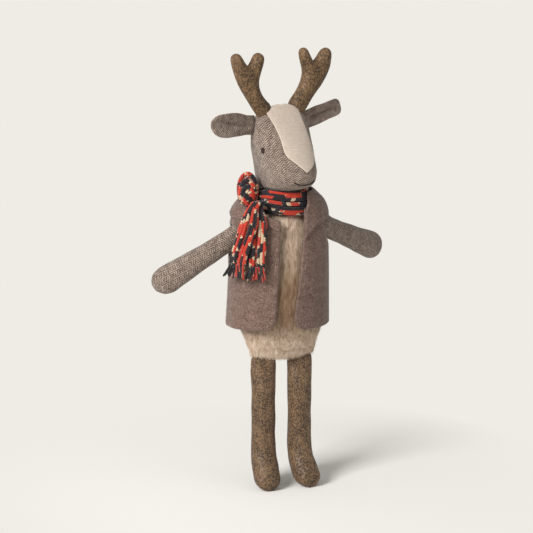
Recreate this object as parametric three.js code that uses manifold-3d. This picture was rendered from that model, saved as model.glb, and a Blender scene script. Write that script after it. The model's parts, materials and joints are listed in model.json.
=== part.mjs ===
// A stuffed cloth deer in a felt vest and a knitted scarf. Millimetres, +Z up, the deer faces -Y.
// Left and right are the viewer's, so left is -X. Every stuffed piece is a cloth cover with its filling inside.
import * as THREE from 'three';
import { mergeVertices } from 'three/addons/utils/BufferGeometryUtils.js';
import Module from 'manifold-3d';

const wasm = await Module();
wasm.setup();

// Shared sizes
const clearance = 0.3;
const overrun = 6;
const soleFlatDepth = 0.5;
const backFlatDepth = 0.5;

// Body, from its bottom seam to the top of the neck
const bodyWidth = 76;
const bodyDepth = 61.6;
const bodyHeight = 133;
const bodyWall = 1.2;
const neckRadius = 14;
// Share of the height above the bottom seam, of the width and of the depth
const bodyShares = [
  [0, 0.68, 0.1],
  [0.025, 0.72, 0.22],
  [0.06, 0.765, 0.4],
  [0.113, 0.83, 0.585],
  [0.188, 0.905, 0.765],
  [0.3, 0.97, 0.915],
  [0.45, 1, 1],
  [0.6, 0.975, 0.95],
  [0.714, 0.9, 0.86],
  [0.812, 0.8, 0.74],
  [0.895, 0.62, 0.6],
  [0.95, 0.43, 0.5],
];
const bodySides = 20;

// Legs, from the sole to the hip seam. The root is sewn flat into the bottom seam of the body
const hipHeight = 110.5;
const hipSpacing = 32;
const hipRadius = 2.6;
const legWidth = 20.6;
const legWall = 0.8;
const footReach = 17;
const footAngleLeft = 2;
const footAngleRight = 12;
// Share of the hip height below the hip, of the width across, of the depth, of the foot's reach forward and of
// its turn outwards, then the tilt of the section in degrees
const legShares = [
  [0.05, 1.07, 0.42, 0, 0, 0],
  [0.1, 1.06, 0.62, 0, 0, 0],
  [0.15, 1.03, 0.8, 0, 0, 0],
  [0.22, 1, 0.95, 0, 0, 0],
  [0.36, 0.98, 0.99, 0, 0, 0],
  [0.56, 0.97, 0.97, 0, 0, 0],
  [0.7, 1.02, 1.02, 0.02, 0.4, 4],
  [0.785, 1.06, 1.08, 0.14, 0.8, 16],
  [0.855, 1.1, 1.12, 0.42, 1, 34],
  [0.922, 1.08, 1.04, 0.8, 1, 53],
  [0.944, 0.92, 0.76, 1.14, 1, 66],
  [0.965, 0.56, 0.42, 1.34, 1, 72],
];
const legRootWidth = 21.4;
const legSides = 12;
// Turns in degrees of the sections round a sewn root
const seamTurns = [65, 35, 0];

// Arms, from the side seam of the body to the end of the hand
const armLength = 86;
const armHandWidth = 23.6;
const armHandDepth = 19;
const armRootHeight = 20.5;
const armWall = 0.8;
const shoulderDrop = 27;
const shoulderRiseRight = 3;
const shoulderRadius = 5.5;
const armDroopAngleLeft = 33;
const armDroopAngleRight = 22;
const armSweepAngleLeft = 18;
const armSweepAngleRight = 34;
// Share of the arm's length from the shoulder, of the hand's width and of the hand's depth
const armShares = [
  [0.14, 0.79, 0.7],
  [0.32, 0.79, 0.84],
  [0.52, 0.86, 0.92],
  [0.7, 0.95, 1],
  [0.83, 1, 0.98],
  [0.92, 0.86, 0.8],
  [0.975, 0.54, 0.48],
];
const armSides = 12;
const seamPostSides = 14;

// Head, above the neck, turned as it rests
const headHeight = 79;
const headWidth = 48.5;
const headFront = 41;
const headBack = 25.5;
const headWall = 0.8;
const headTurn = 13;
// Share of the height above the neck, of the width, of the reach forward and of the reach back
const headShares = [
  [0.11, 0.57, 0.36, 0.56],
  [0.14, 0.72, 0.56, 0.7],
  [0.175, 0.82, 0.78, 0.78],
  [0.215, 0.86, 0.9, 0.8],
  [0.265, 0.88, 0.98, 0.83],
  [0.33, 0.9, 1, 0.87],
  [0.4, 0.925, 0.93, 0.92],
  [0.48, 0.96, 0.81, 0.97],
  [0.58, 1, 0.65, 1],
  [0.68, 1, 0.5, 1],
  [0.78, 0.97, 0.36, 0.96],
  [0.87, 0.88, 0.22, 0.86],
  [0.94, 0.68, 0.11, 0.66],
  [0.985, 0.35, 0.04, 0.34],
];
const headSides = 20;
const headSquareness = 2.3;

// Face
const blazeThickness = 0.9;
const blazeShift = 1.2;
// Share of the head's height and of half its width along the edge of the blaze, from the crown to the tip
const blazeShares = [
  [1.06, 0.54],
  [0.92, 0.6],
  [0.84, 0.6],
  [0.75, 0.58],
  [0.66, 0.575],
  [0.57, 0.56],
  [0.53, 0.54],
  [0.49, 0.48],
  [0.45, 0.39],
  [0.41, 0.23],
  [0.385, 0.15],
  [0.355, 0.04],
];
const eyeWidth = 3.4;
const eyeHeight = 4.6;
const eyeProud = 1.1;
const eyeLevel = 44;
const eyeTurn = 17;
const eyeSides = 12;
const eyeRings = 8;
const mouthRadius = 0.6;
const mouthLevel = 17.4;
const mouthRise = 3;
const mouthTurn = 24;

// Antlers
const antlerSpacing = 34;
const antlerBack = 3;
const antlerRoot = 15.2;
const antlerFork = 19.6;
const antlerTine = 11.2;
const antlerDepthShare = 0.82;
const antlerWall = 0.8;
const antlerRootLevel = 74;
const antlerForkRise = 30;
const antlerForkLean = 14;
const tineRise = 14.5;
const outerTineLean = 10.5;
const innerTineLean = 9;
const antlerSides = 8;

// Ears. The root is sewn flat to the side of the head
const earLength = 41.5;
const earWidth = 19;
const earThickness = 5;
const earCup = 3.2;
const earRootRadius = 2.4;
const earLevel = 63.5;
const earBack = 6;
const earSweepAngleLeft = -6;
const earSweepAngleRight = 8;
const earLiftAngleLeft = 5;
const earLiftAngleRight = 12;
// Share of the ear's length and of its width
const earShares = [
  [0.12, 0.84],
  [0.35, 0.96],
  [0.6, 1],
  [0.8, 0.84],
  [0.92, 0.58],
  [0.985, 0.26],
];
const earSides = 14;

// Vest, cut from felt, from its hem above the body's seam to its rise above the neck
const vestThickness = 2.2;
const vestFit = 2.7;
const vestShift = 2.4;
const vestHem = 28;
const vestRise = 6;
const armholeHeight = 28;
const armholeDepth = 30;
const armholeSides = 20;
const openingLeftTop = 7.5;
const openingRightTop = 16;
const openingLeftHem = 15;
const openingRightHem = 1;
const hemCornerRadius = 11;
// Share of the vest's height above the hem, and how much wider and deeper it is than the belly of the body
const vestShares = [
  [-0.1, 1.01, 1],
  [0.2, 1.005, 1],
  [0.45, 1, 0.995],
  [0.6, 0.995, 0.94],
  [0.71, 0.985, 0.87],
  [0.8, 0.965, 0.79],
  [0.87, 0.92, 0.71],
  [0.93, 0.83, 0.63],
  [0.98, 0.68, 0.54],
  [1.01, 0.5, 0.4],
];
const vestSides = 24;

// Collar and lapels of the vest
const collarThickness = 2.3;
const collarHeight = 20;
const collarWidth = 77;
const collarDepth = 59;
// Share of the collar's height above the lower edge of the scarf, of its width and of its depth
const collarShares = [
  [0, 1, 0.95],
  [0.3, 0.965, 0.985],
  [0.65, 0.88, 1],
  [0.85, 0.77, 0.965],
  [1, 0.69, 0.9],
];
// Reach to the side and drop below the scarf of a lapel's lower edge, from the open front to its tip
const lapelLeft = [
  [0, 17.6],
  [22, 4.6],
  [40, 1.6],
];
const lapelRight = [
  [0, 26],
  [21.5, 9],
  [31, 5.5],
];

// Scarf
const scarfHeight = 21;
const scarfThickness = 9;
const scarfWidth = 50;
const scarfDepth = 50;
const scarfSides = 24;
const bandSides = 10;
const knotWidth = 17;
const knotHeight = 28;
const knotDepth = 17;
const knotTurn = 75;
const knotRise = 10;
const knotBulge = 7;
const knotSides = 16;
const knotRings = 10;
const tailWidth = 16;
const tailThickness = 4.6;
const tailFold = 1.1;
const outerTailLength = 50;
const innerTailLength = 52;
const outerTailAngle = 37;
const outerTailDriftAngle = 18;
const innerTailAngle = 34;
const innerTailDriftAngle = 3;
const tailLap = 4;
const tailSteps = 7;
const tailSides = 10;
const tailFolds = 3;
const tailNeckShare = 0.85;
const knitSquareness = 2.6;
const tasselLength = 11;
const tasselSplay = 2.5;
const tasselRadius = 1.3;
const tasselCount = 6;
const tasselSides = 6;
const fringeBar = 2;

// Places worked out from the sizes
const bodyBase = hipHeight + hipRadius + clearance;
const bodyTop = bodyBase + bodyHeight;
const shoulderLevel = bodyTop - shoulderDrop;
const shoulderLevelRight = shoulderLevel + shoulderRiseRight;
const headBase = bodyTop + clearance;
const vestBase = bodyBase + vestHem;
const vestHeight = bodyTop + vestRise - vestBase;
const vestGrowth = vestFit + vestThickness;
const scarfLevel = bodyTop - clearance;
const scarfBottom = scarfLevel - scarfHeight / 2;
const lapelStand = clearance + collarThickness + clearance;
const tailTop = scarfLevel + tailLap;

// Materials
const cloth = (color, roughness = 0.95) =>
  new THREE.MeshStandardMaterial({ color, roughness, metalness: 0 });
const twill = cloth(0x9a897d);
const linen = cloth(0xc9bbae);
const suede = cloth(0x68523d, 0.85);
const speckled = cloth(0x7b6350, 0.7);
const fur = cloth(0xab9580);
const felt = cloth(0x8b7367);
const knitRed = cloth(0xd9472f);
const knitBlack = cloth(0x2e2b2e);
const thread = cloth(0x3a2a22, 0.7);
const filling = cloth(0xefece4);

const radians = (degrees) => THREE.MathUtils.degToRad(degrees);
const corner = (x, y, z) => new THREE.Vector3(x, y, z);
const upwards = corner(0, 0, 1);
const signedPower = (value, power) => Math.sign(value) * Math.abs(value) ** power;

// Points of one cross section: half widths across, to the front and to the back
function section(centre, across, front, back, sides, squareness = 2) {
  const points = [];
  for (let i = 0; i < sides; i += 1) {
    const angle = (i / sides) * Math.PI * 2;
    const u = signedPower(Math.cos(angle), 2 / squareness);
    const v = signedPower(Math.sin(angle), 2 / squareness);
    const point = centre.clone().addScaledVector(across, u);
    points.push(v < 0 ? point.addScaledVector(front, -v) : point.addScaledVector(back, v));
  }
  return points;
}

// A level section, with +Y to the back
function levelSection(level, halfWidth, front, back, sides, squareness) {
  return section(
    new THREE.Vector3(0, 0, level),
    new THREE.Vector3(halfWidth, 0, 0),
    new THREE.Vector3(0, -front, 0),
    new THREE.Vector3(0, back, 0),
    sides,
    squareness,
  );
}

// A section across a limb: one half width vector, and the same depth to the front and the back
function limbSection(centre, across, depth, sides) {
  return section(centre, across, new THREE.Vector3(0, -depth, 0), new THREE.Vector3(0, depth, 0), sides);
}

// Faces must point out, so the volume they close is made positive
function pointingOut(geometry) {
  const position = geometry.getAttribute('position');
  const index = geometry.getIndex().array;
  const [a, b, c] = [new THREE.Vector3(), new THREE.Vector3(), new THREE.Vector3()];
  let volume = 0;
  for (let i = 0; i < index.length; i += 3) {
    a.fromBufferAttribute(position, index[i]);
    b.fromBufferAttribute(position, index[i + 1]);
    c.fromBufferAttribute(position, index[i + 2]);
    volume += a.dot(b.cross(c));
  }
  if (volume < 0) {
    for (let i = 0; i < index.length; i += 3) {
      [index[i], index[i + 1]] = [index[i + 1], index[i]];
    }
  }
  return geometry;
}

function geometryOf(points, index) {
  const geometry = new THREE.BufferGeometry();
  geometry.setAttribute('position', new THREE.Float32BufferAttribute(points.flatMap((p) => p.toArray()), 3));
  geometry.setIndex(index);
  return pointingOut(geometry);
}

// A closed skin over sections in a row, with a fan over each end
function loft(sections) {
  const sides = sections[0].length;
  const points = sections.flat();
  const index = [];
  for (let ring = 0; ring < sections.length - 1; ring += 1) {
    for (let i = 0; i < sides; i += 1) {
      const here = ring * sides + i;
      const next = ring * sides + ((i + 1) % sides);
      index.push(here, next, next + sides, here, next + sides, here + sides);
    }
  }
  for (const [ring, flipped] of [[0, true], [sections.length - 1, false]]) {
    const middle = new THREE.Vector3();
    sections[ring].forEach((p) => middle.addScaledVector(p, 1 / sides));
    points.push(middle);
    for (let i = 0; i < sides; i += 1) {
      const here = ring * sides + i;
      const next = ring * sides + ((i + 1) % sides);
      index.push(...(flipped ? [next, here, points.length - 1] : [here, next, points.length - 1]));
    }
  }
  return geometryOf(points, index);
}

// A closed skin over sections that go round and meet their start again
function ringLoft(sections) {
  const sides = sections[0].length;
  const index = [];
  for (let ring = 0; ring < sections.length; ring += 1) {
    const after = ((ring + 1) % sections.length) * sides;
    for (let i = 0; i < sides; i += 1) {
      const next = (i + 1) % sides;
      const here = ring * sides;
      index.push(here + i, here + next, after + next, here + i, after + next, after + i);
    }
  }
  return geometryOf(sections.flat(), index);
}

// The bare shape, with shared vertices merged
function merged(geometry) {
  const bare = geometry.clone();
  bare.deleteAttribute('normal');
  bare.deleteAttribute('uv');
  return mergeVertices(bare);
}

// The same skin moved out by a distance, or in if it is negative
function grown(geometry, distance) {
  const copy = merged(geometry);
  copy.computeVertexNormals();
  const position = copy.getAttribute('position');
  const normal = copy.getAttribute('normal');
  for (let i = 0; i < position.count; i += 1) {
    position.setXYZ(
      i,
      position.getX(i) + normal.getX(i) * distance,
      position.getY(i) + normal.getY(i) * distance,
      position.getZ(i) + normal.getZ(i) * distance,
    );
  }
  copy.deleteAttribute('normal');
  return copy;
}

function solid(geometry) {
  const bare = merged(geometry);
  return new wasm.Manifold(
    new wasm.Mesh({
      numProp: 3,
      vertProperties: new Float32Array(bare.getAttribute('position').array),
      triVerts: new Uint32Array(bare.getIndex().array),
    }),
  );
}

function geometryFrom(manifold) {
  const mesh = manifold.getMesh();
  const geometry = new THREE.BufferGeometry();
  geometry.setAttribute('position', new THREE.Float32BufferAttribute(mesh.vertProperties, 3));
  geometry.setIndex([...mesh.triVerts]);
  return geometry;
}

// A box between two corners
function box(low, high) {
  const size = new THREE.Vector3().subVectors(high, low);
  const geometry = new THREE.BoxGeometry(size.x, size.y, size.z);
  const middle = new THREE.Vector3().addVectors(low, high).multiplyScalar(1 / 2);
  return solid(geometry.translate(middle.x, middle.y, middle.z));
}

// An outline in X and Z, run along Y between two depths
function slab(points, nearY, farY) {
  const outline = points instanceof THREE.Shape ? points : new THREE.Shape(points);
  const geometry = new THREE.ExtrudeGeometry(outline, { depth: farY - nearY, bevelEnabled: false, curveSegments: 6 });
  geometry.rotateX(Math.PI / 2);
  return solid(geometry.translate(0, farY, 0));
}

// An upright post round a sewn edge
function post(x, y, level, radius, height) {
  const geometry = new THREE.CylinderGeometry(radius, radius, height, seamPostSides);
  return solid(geometry.rotateX(Math.PI / 2).translate(x, y, level));
}

// A cloth cover is the outer skin without its inside, left open at a mouth in a seam
function cover(outer, wall, mouth) {
  return solid(outer).subtract(solid(grown(outer, -wall))).subtract(mouth);
}

function fillingOf(outer, wall) {
  return solid(grown(outer, -wall - clearance));
}

const deer = new THREE.Group();
const figure = new THREE.Group();
const head = new THREE.Group();
deer.add(figure);
figure.add(head);

function add(group, name, shape, material) {
  const geometry = shape instanceof THREE.BufferGeometry ? shape : geometryFrom(shape);
  const mesh = new THREE.Mesh(geometry, material);
  mesh.name = name;
  group.add(mesh);
}

// The other columns of a table of shares, where its first column has this value
function sharesAt(table, value) {
  const above = Math.max(1, table.findIndex((row) => row[0] > value));
  const [low, high] = [table[above - 1], table[above]];
  const between = THREE.MathUtils.clamp((value - low[0]) / (high[0] - low[0]), 0, 1);
  return low.slice(1).map((share, column) => THREE.MathUtils.lerp(share, high[column + 1], between));
}

const shoulderReach =
  (sharesAt(bodyShares, 1 - shoulderDrop / bodyHeight)[0] * bodyWidth) / 2 + clearance + shoulderRadius;

// Body of pile fabric, closed by a straight seam below and open at the neck
function bodySkin() {
  const rings = bodyShares.map(([up, wide, deep]) => {
    const depth = (deep * bodyDepth) / 2;
    return levelSection(bodyBase + up * bodyHeight, (wide * bodyWidth) / 2, depth, depth, bodySides);
  });
  rings.push(levelSection(bodyTop, neckRadius, neckRadius, neckRadius, bodySides));
  return loft(rings);
}
const torso = bodySkin();
const bodyWithGap = solid(grown(torso, clearance));

function addBody() {
  const mouthRadius = neckRadius - bodyWall - clearance;
  const mouth = post(0, 0, bodyTop, mouthRadius, bodyWall + overrun);
  const postRadius = shoulderRadius + clearance;
  const left = post(-shoulderReach, 0, shoulderLevel, postRadius, armRootHeight + overrun);
  const right = post(shoulderReach, 0, shoulderLevelRight, postRadius, armRootHeight + overrun);
  add(figure, 'body_cover', cover(torso, bodyWall, mouth).subtract(left).subtract(right), fur);
  add(figure, 'body_stuffing', fillingOf(torso, bodyWall), filling);
}

// A limb's root is round about its seam, so it turns there without touching the body
function legSkin(yaw) {
  const rings = [];
  for (const turn of seamTurns) {
    const rise = hipRadius * Math.sin(radians(turn));
    const depth = hipRadius * Math.cos(radians(turn));
    const width = (legRootWidth - rise) / 2;
    rings.push(levelSection(hipHeight + rise, width, depth, depth, legSides));
  }
  for (const [down, wide, deep, forward, outward, tilted] of legShares) {
    const tilt = radians(tilted);
    const depth = (deep * legWidth) / 2;
    const ring = section(
      corner(0, -forward * footReach, hipHeight * (1 - down)),
      corner((wide * legWidth) / 2, 0, 0),
      corner(0, -Math.cos(tilt), Math.sin(tilt)).multiplyScalar(depth),
      corner(0, Math.cos(tilt), -Math.sin(tilt)).multiplyScalar(depth),
      legSides,
    );
    rings.push(ring.map((point) => point.applyAxisAngle(upwards, radians(outward * yaw))));
  }
  return loft(rings);
}

// Both soles are pressed flat at this height
const straightLeg = legSkin(0);
straightLeg.computeBoundingBox();
const floor = straightLeg.boundingBox.min.z + soleFlatDepth;

function addLeg(name, side, yaw) {
  const skin = legSkin(side * yaw);
  const reach = legWidth + 2 * footReach;
  const below = box(corner(-reach, -reach, floor - reach), corner(reach, reach, floor));
  const slit = (hipRadius - legWall) / 2;
  const mouth = box(
    corner(-legRootWidth / 4, -slit, hipHeight),
    corner(legRootWidth / 4, slit, hipHeight + hipRadius + overrun),
  );
  const leg = new THREE.Group();
  leg.position.x = (side * hipSpacing) / 2;
  add(leg, `leg_${name}_cover`, cover(skin, legWall, mouth).subtract(below), speckled);
  add(leg, `leg_${name}_stuffing`, fillingOf(skin, legWall).subtract(below.translate(0, 0, legWall + clearance)), filling);
  figure.add(leg);
}

// Arms, each round about the side seam where it is sewn on
function armSkin(droop, side) {
  const down = radians(droop);
  const along = new THREE.Vector3(side * Math.cos(down), 0, -Math.sin(down));
  const upright = new THREE.Vector3(0, 0, 1);
  const square = new THREE.Vector3(side * Math.sin(down), 0, Math.cos(down));
  const rings = [];
  for (const turn of seamTurns) {
    const inward = new THREE.Vector3(-side * shoulderRadius * Math.sin(radians(turn)), 0, 0);
    const depth = shoulderRadius * Math.cos(radians(turn));
    const height = (armRootHeight / 2) * Math.cos(radians(turn) / 2);
    rings.push(limbSection(inward, upright.clone().multiplyScalar(height), depth, armSides));
  }
  armShares.forEach(([out, wide, deep], row) => {
    const across = upright.clone().lerp(square, row ? 1 : 1 / 2).normalize();
    across.multiplyScalar((wide * armHandWidth) / 2);
    rings.push(limbSection(along.clone().multiplyScalar(out * armLength), across, (deep * armHandDepth) / 2, armSides));
  });
  return loft(rings);
}

function addArm(name, side, level, droop, sweep) {
  const skin = armSkin(droop, side);
  const slit = (shoulderRadius - armWall) / 2;
  const mouth = box(
    corner(-shoulderRadius - overrun, -slit, -armRootHeight / 4),
    corner(shoulderRadius + overrun, slit, armRootHeight / 4),
  ).translate(-side * (shoulderRadius + overrun), 0, 0);
  const arm = new THREE.Group();
  arm.position.set(side * shoulderReach, 0, level);
  arm.rotation.z = side * radians(sweep);
  add(arm, `arm_${name}_cover`, cover(skin, armWall, mouth), twill);
  add(arm, `arm_${name}_stuffing`, fillingOf(skin, armWall), filling);
  figure.add(arm);
}

// Half width, reach forward and reach back of the head at a height above the neck
function headAt(level) {
  const [wide, front, back] = sharesAt(headShares, level / headHeight);
  return [(wide * headWidth) / 2, front * headFront, back * headBack];
}

// A point on the front half of the head, by its turn from straight ahead towards +X
function headPoint(turn, level, out = 0) {
  const [halfWidth, front] = headAt(level);
  const x = (halfWidth + out) * signedPower(Math.sin(radians(turn)), 2 / headSquareness);
  const y = -(front + out) * signedPower(Math.cos(radians(turn)), 2 / headSquareness);
  return new THREE.Vector3(x, y, level);
}

function headSkin() {
  const rings = [levelSection(0, neckRadius, neckRadius, neckRadius, headSides, headSquareness)];
  for (const [up, wide, front, back] of headShares) {
    const halfWidth = (wide * headWidth) / 2;
    rings.push(levelSection(up * headHeight, halfWidth, front * headFront, back * headBack, headSides, headSquareness));
  }
  const [, wide, front, back] = headShares.at(-1).map((share) => share / 3);
  rings.push(levelSection(headHeight, (wide * headWidth) / 2, front * headFront, back * headBack, headSides));
  return loft(rings);
}
const skull = headSkin();
const skullWithGap = solid(grown(skull, clearance));

// An antler in the plane of its fork: a trunk and two tines, thinned by an inset for its inside
function antlerSolid(side, inset) {
  const root = corner((side * antlerSpacing) / 2, antlerBack, antlerRootLevel);
  const fork = corner(side * (antlerSpacing / 2 + antlerForkLean), antlerBack, antlerRootLevel + antlerForkRise);
  const outerTip = corner(fork.x + side * outerTineLean, antlerBack, fork.z + tineRise);
  const innerTip = corner(fork.x - side * innerTineLean, antlerBack, fork.z + tineRise);
  const [rootRadius, forkRadius, tineRadius] = [antlerRoot, antlerFork, antlerTine].map((wide) => wide / 2 - inset);
  return roundBar(root, fork, rootRadius, forkRadius)
    .add(roundBar(fork, outerTip, tineRadius, tineRadius))
    .add(roundBar(fork, innerTip, tineRadius, tineRadius));
}

// A bar between two places with round ends, flattened front to back
function roundBar(from, to, fromRadius, toRadius) {
  const along = new THREE.Vector3().subVectors(to, from).normalize();
  const across = new THREE.Vector3(along.z, 0, -along.x);
  const rings = [];
  const ends = [[from, fromRadius, [-70, -30, 0]], [to, toRadius, [0, 30, 70]]];
  for (const [place, radius, turns] of ends) {
    for (const turn of turns) {
      const thin = radius * Math.cos(radians(turn));
      const centre = place.clone().addScaledVector(along, radius * Math.sin(radians(turn)));
      rings.push(limbSection(centre, across.clone().multiplyScalar(thin), thin * antlerDepthShare, antlerSides));
    }
  }
  return solid(loft(rings));
}

function addAntler(name, side) {
  const outside = antlerSolid(side, 0).subtract(skullWithGap);
  const inside = antlerSolid(side, antlerWall);
  add(head, `antler_${name}_cover`, outside.subtract(inside), suede);
  add(head, `antler_${name}_stuffing`, antlerSolid(side, antlerWall + clearance).subtract(skullWithGap), filling);
}

// An ear is two flat layers of cloth, cupped along its length, and turns about the seam at its root
const earReach = headAt(earLevel)[0] + clearance + earRootRadius / 2;
function addEar(name, side, sweep, lift) {
  const up = radians(lift);
  const along = new THREE.Vector3(side * Math.cos(up), 0, Math.sin(up));
  const square = new THREE.Vector3(-side * Math.sin(up), 0, Math.cos(up));
  const rings = [];
  for (const turn of [-60, 0]) {
    const inward = new THREE.Vector3(side * earRootRadius * Math.sin(radians(turn)), 0, 0);
    const height = (earShares[0][1] * earWidth * Math.cos(radians(turn) / 3)) / 2;
    rings.push(limbSection(inward, corner(0, 0, height), earRootRadius * Math.cos(radians(turn)), earSides));
  }
  for (const [out, wide] of earShares) {
    const halfWidth = (wide * earWidth) / 2;
    const centre = along.clone().multiplyScalar(out * earLength);
    const ring = limbSection(centre, square.clone().multiplyScalar(halfWidth), (earThickness / 2) * Math.min(1, wide), earSides);
    for (const point of ring) {
      const offCentre = point.clone().sub(centre).dot(square) / halfWidth;
      point.y -= earCup * offCentre ** 2 * Math.min(1, 2 * out);
    }
    rings.push(ring);
  }
  const ear = new THREE.Group();
  ear.position.set(side * earReach, earBack, earLevel);
  ear.rotation.z = side * radians(sweep);
  add(ear, `ear_${name}`, solid(loft(rings)), twill);
  head.add(ear);
}

function addHead() {
  head.position.z = headBase;
  head.rotation.z = radians(headTurn);
  const mouth = post(0, 0, 0, neckRadius - headWall - clearance, headWall + overrun);
  const earPosts = [-1, 1].map((side) =>
    post(side * earReach, earBack, earLevel, earRootRadius + clearance, earWidth + overrun));
  const shell = cover(skull, headWall, mouth).subtract(earPosts[0]).subtract(earPosts[1]);
  add(head, 'head_cover', shell, twill);
  const stuffing = fillingOf(skull, headWall).subtract(earPosts[0]).subtract(earPosts[1]);
  add(head, 'head_stuffing', stuffing, filling);
}

// The pale panel that runs from the crown down to the nose
function addBlaze() {
  const edge = blazeShares.map(([up, wide]) => [(wide * headWidth) / 2, up * headHeight]);
  const outline = [
    ...edge.map(([x, z]) => new THREE.Vector2(blazeShift + x, z)),
    ...edge.toReversed().map(([x, z]) => new THREE.Vector2(blazeShift - x, z)),
  ];
  const layer = solid(grown(skull, clearance + blazeThickness)).subtract(skullWithGap);
  const panel = layer.intersect(slab(outline, -headFront - overrun, 0));
  const antlers = antlerSolid(-1, -clearance).add(antlerSolid(1, -clearance));
  add(head, 'forehead_blaze', panel.subtract(antlers), linen);
}

function addFace() {
  for (const [name, side] of [['left', -1], ['right', 1]]) {
    const place = headPoint(side * (90 - eyeTurn), eyeLevel);
    const geometry = new THREE.SphereGeometry(1, eyeSides, eyeRings);
    geometry.scale((eyeProud + clearance), eyeWidth / 2, eyeHeight / 2);
    geometry.rotateZ(-side * radians(eyeTurn)).translate(place.x, place.y, place.z);
    add(head, `eye_${name}`, solid(geometry).subtract(skullWithGap), thread);
  }
  const points = [];
  for (const share of [-1, -0.66, -0.33, 0, 0.33, 0.66, 1]) {
    const level = mouthLevel + mouthRise * share ** 2;
    points.push(headPoint(share * mouthTurn, level, clearance + mouthRadius));
  }
  const bead = new THREE.Shape();
  bead.absarc(0, 0, mouthRadius, 0, Math.PI * 2);
  const path = new THREE.CatmullRomCurve3(points);
  const line = new THREE.ExtrudeGeometry(bead, { extrudePath: path, steps: 9, curveSegments: 2, bevelEnabled: false });
  add(head, 'mouth_stitch', solid(line).subtract(skullWithGap), thread);
}

// Vest: one felt shell over the body, cut into a back and two fronts along the side and shoulder seams
const vestHalfWidth = bodyWidth / 2 + vestGrowth;
const vestHalfDepth = bodyDepth / 2 + vestGrowth;
function vestSkin() {
  const rings = vestShares.map(([up, wide, deep]) => {
    const depth = deep * vestHalfDepth;
    return levelSection(vestBase + up * vestHeight, wide * vestHalfWidth, depth, depth, vestSides);
  });
  return loft(rings).translate(-vestShift, 0, 0);
}
const vestShell = vestSkin();

// Half width and half depth of the vest at a level
function vestAt(level) {
  const [wide, deep] = sharesAt(vestShares, (level - vestBase) / vestHeight);
  return [wide * vestHalfWidth, deep * vestHalfDepth];
}

const overInner = tailThickness + clearance;
const innerPlaces = tailPlaces(innerTailAngle, innerTailDriftAngle, innerTailLength, 0);
const outerPlaces = tailPlaces(outerTailAngle, outerTailDriftAngle, outerTailLength, overInner);
const innerTail = tailSkin(innerPlaces);
const outerTail = tailSkin(outerPlaces);
const knotWithGap = solid(grown(knotSkin(), clearance));

// The room that the scarf fills round the neck, from below its lower edge upwards
function scarfRoom() {
  const low = scarfBottom - clearance;
  const half = scarfWidth / 2 + clearance;
  const depth = scarfDepth / 2 + clearance;
  const high = low + scarfHeight + collarHeight;
  return solid(loft([levelSection(low, half, depth, depth, scarfSides), levelSection(high, half, depth, depth, scarfSides)]));
}

// The open front of the vest, with the hem's corners rounded away beside it
function frontOpening() {
  const low = vestBase - overrun;
  const high = vestBase + vestHeight + overrun;
  const round = vestBase + hemCornerRadius;
  const outline = new THREE.Shape();
  outline.moveTo(-openingLeftTop, high);
  outline.lineTo(-openingLeftHem, round);
  outline.absarc(-openingLeftHem - hemCornerRadius, round, hemCornerRadius, 0, -Math.PI / 2, true);
  outline.lineTo(-openingLeftHem - hemCornerRadius, low);
  outline.lineTo(openingRightHem + hemCornerRadius, low);
  outline.lineTo(openingRightHem + hemCornerRadius, vestBase);
  outline.absarc(openingRightHem + hemCornerRadius, round, hemCornerRadius, -Math.PI / 2, -Math.PI, true);
  outline.lineTo(openingRightTop, high);
  return slab(outline, -vestHalfDepth - overrun, 0);
}

// An armhole, lowered to where the drooping arm passes through the vest
function armhole(side, level, droop) {
  const wall = vestHalfWidth - side * vestShift;
  const drop = Math.max(0, wall - shoulderReach) * Math.tan(radians(droop));
  const geometry = new THREE.CylinderGeometry(1, 1, wall + overrun, armholeSides);
  geometry.rotateZ(Math.PI / 2).scale(1, armholeDepth / 2, armholeHeight / 2);
  return solid(geometry.translate((side * (wall + overrun)) / 2, 0, level - drop));
}

function halfSpace(front) {
  const reach = vestHalfWidth + vestHeight;
  const near = front ? -reach : clearance / 2;
  const far = front ? -clearance / 2 : reach;
  return box(corner(-reach, near, 0), corner(reach, far, bodyTop + reach));
}

function addVest() {
  const reach = vestHalfWidth + vestHeight;
  const belowHem = box(corner(-reach, -reach, vestBase - reach), corner(reach, reach, vestBase));
  const backPlane = vestHalfDepth - backFlatDepth;
  const behind = box(corner(-reach, backPlane, 0), corner(reach, reach, bodyTop + reach));
  const whole = solid(vestShell)
    .subtract(solid(grown(vestShell, -vestThickness)))
    .subtract(belowHem)
    .subtract(scarfRoom())
    .subtract(frontOpening())
    .subtract(armhole(-1, shoulderLevel, armDroopAngleLeft))
    .subtract(armhole(1, shoulderLevelRight, armDroopAngleRight))
    .subtract(bodyWithGap);
  const fronts = whole.intersect(halfSpace(true));
  const leftHalf = box(corner(-reach, -reach, 0), corner(-openingLeftTop / 2, reach, bodyTop + reach));
  add(figure, 'vest_back', whole.intersect(halfSpace(false)).subtract(behind), felt);
  add(figure, 'vest_front_left', fronts.intersect(leftHalf), felt);
  add(figure, 'vest_front_right', fronts.subtract(leftHalf), felt);
}

// One lapel in the front view, from the open front out to its tip and up beside the neck
function lapelOutline(side, edge) {
  const high = bodyTop + collarHeight;
  const wide = vestHalfWidth + overrun;
  return [
    ...edge.map(([reach, drop]) => [reach, scarfBottom - drop]),
    [wide, scarfBottom], [wide, high], [edge[0][0], high],
  ].map(([x, z]) => new THREE.Vector2(side * x, z));
}

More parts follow.
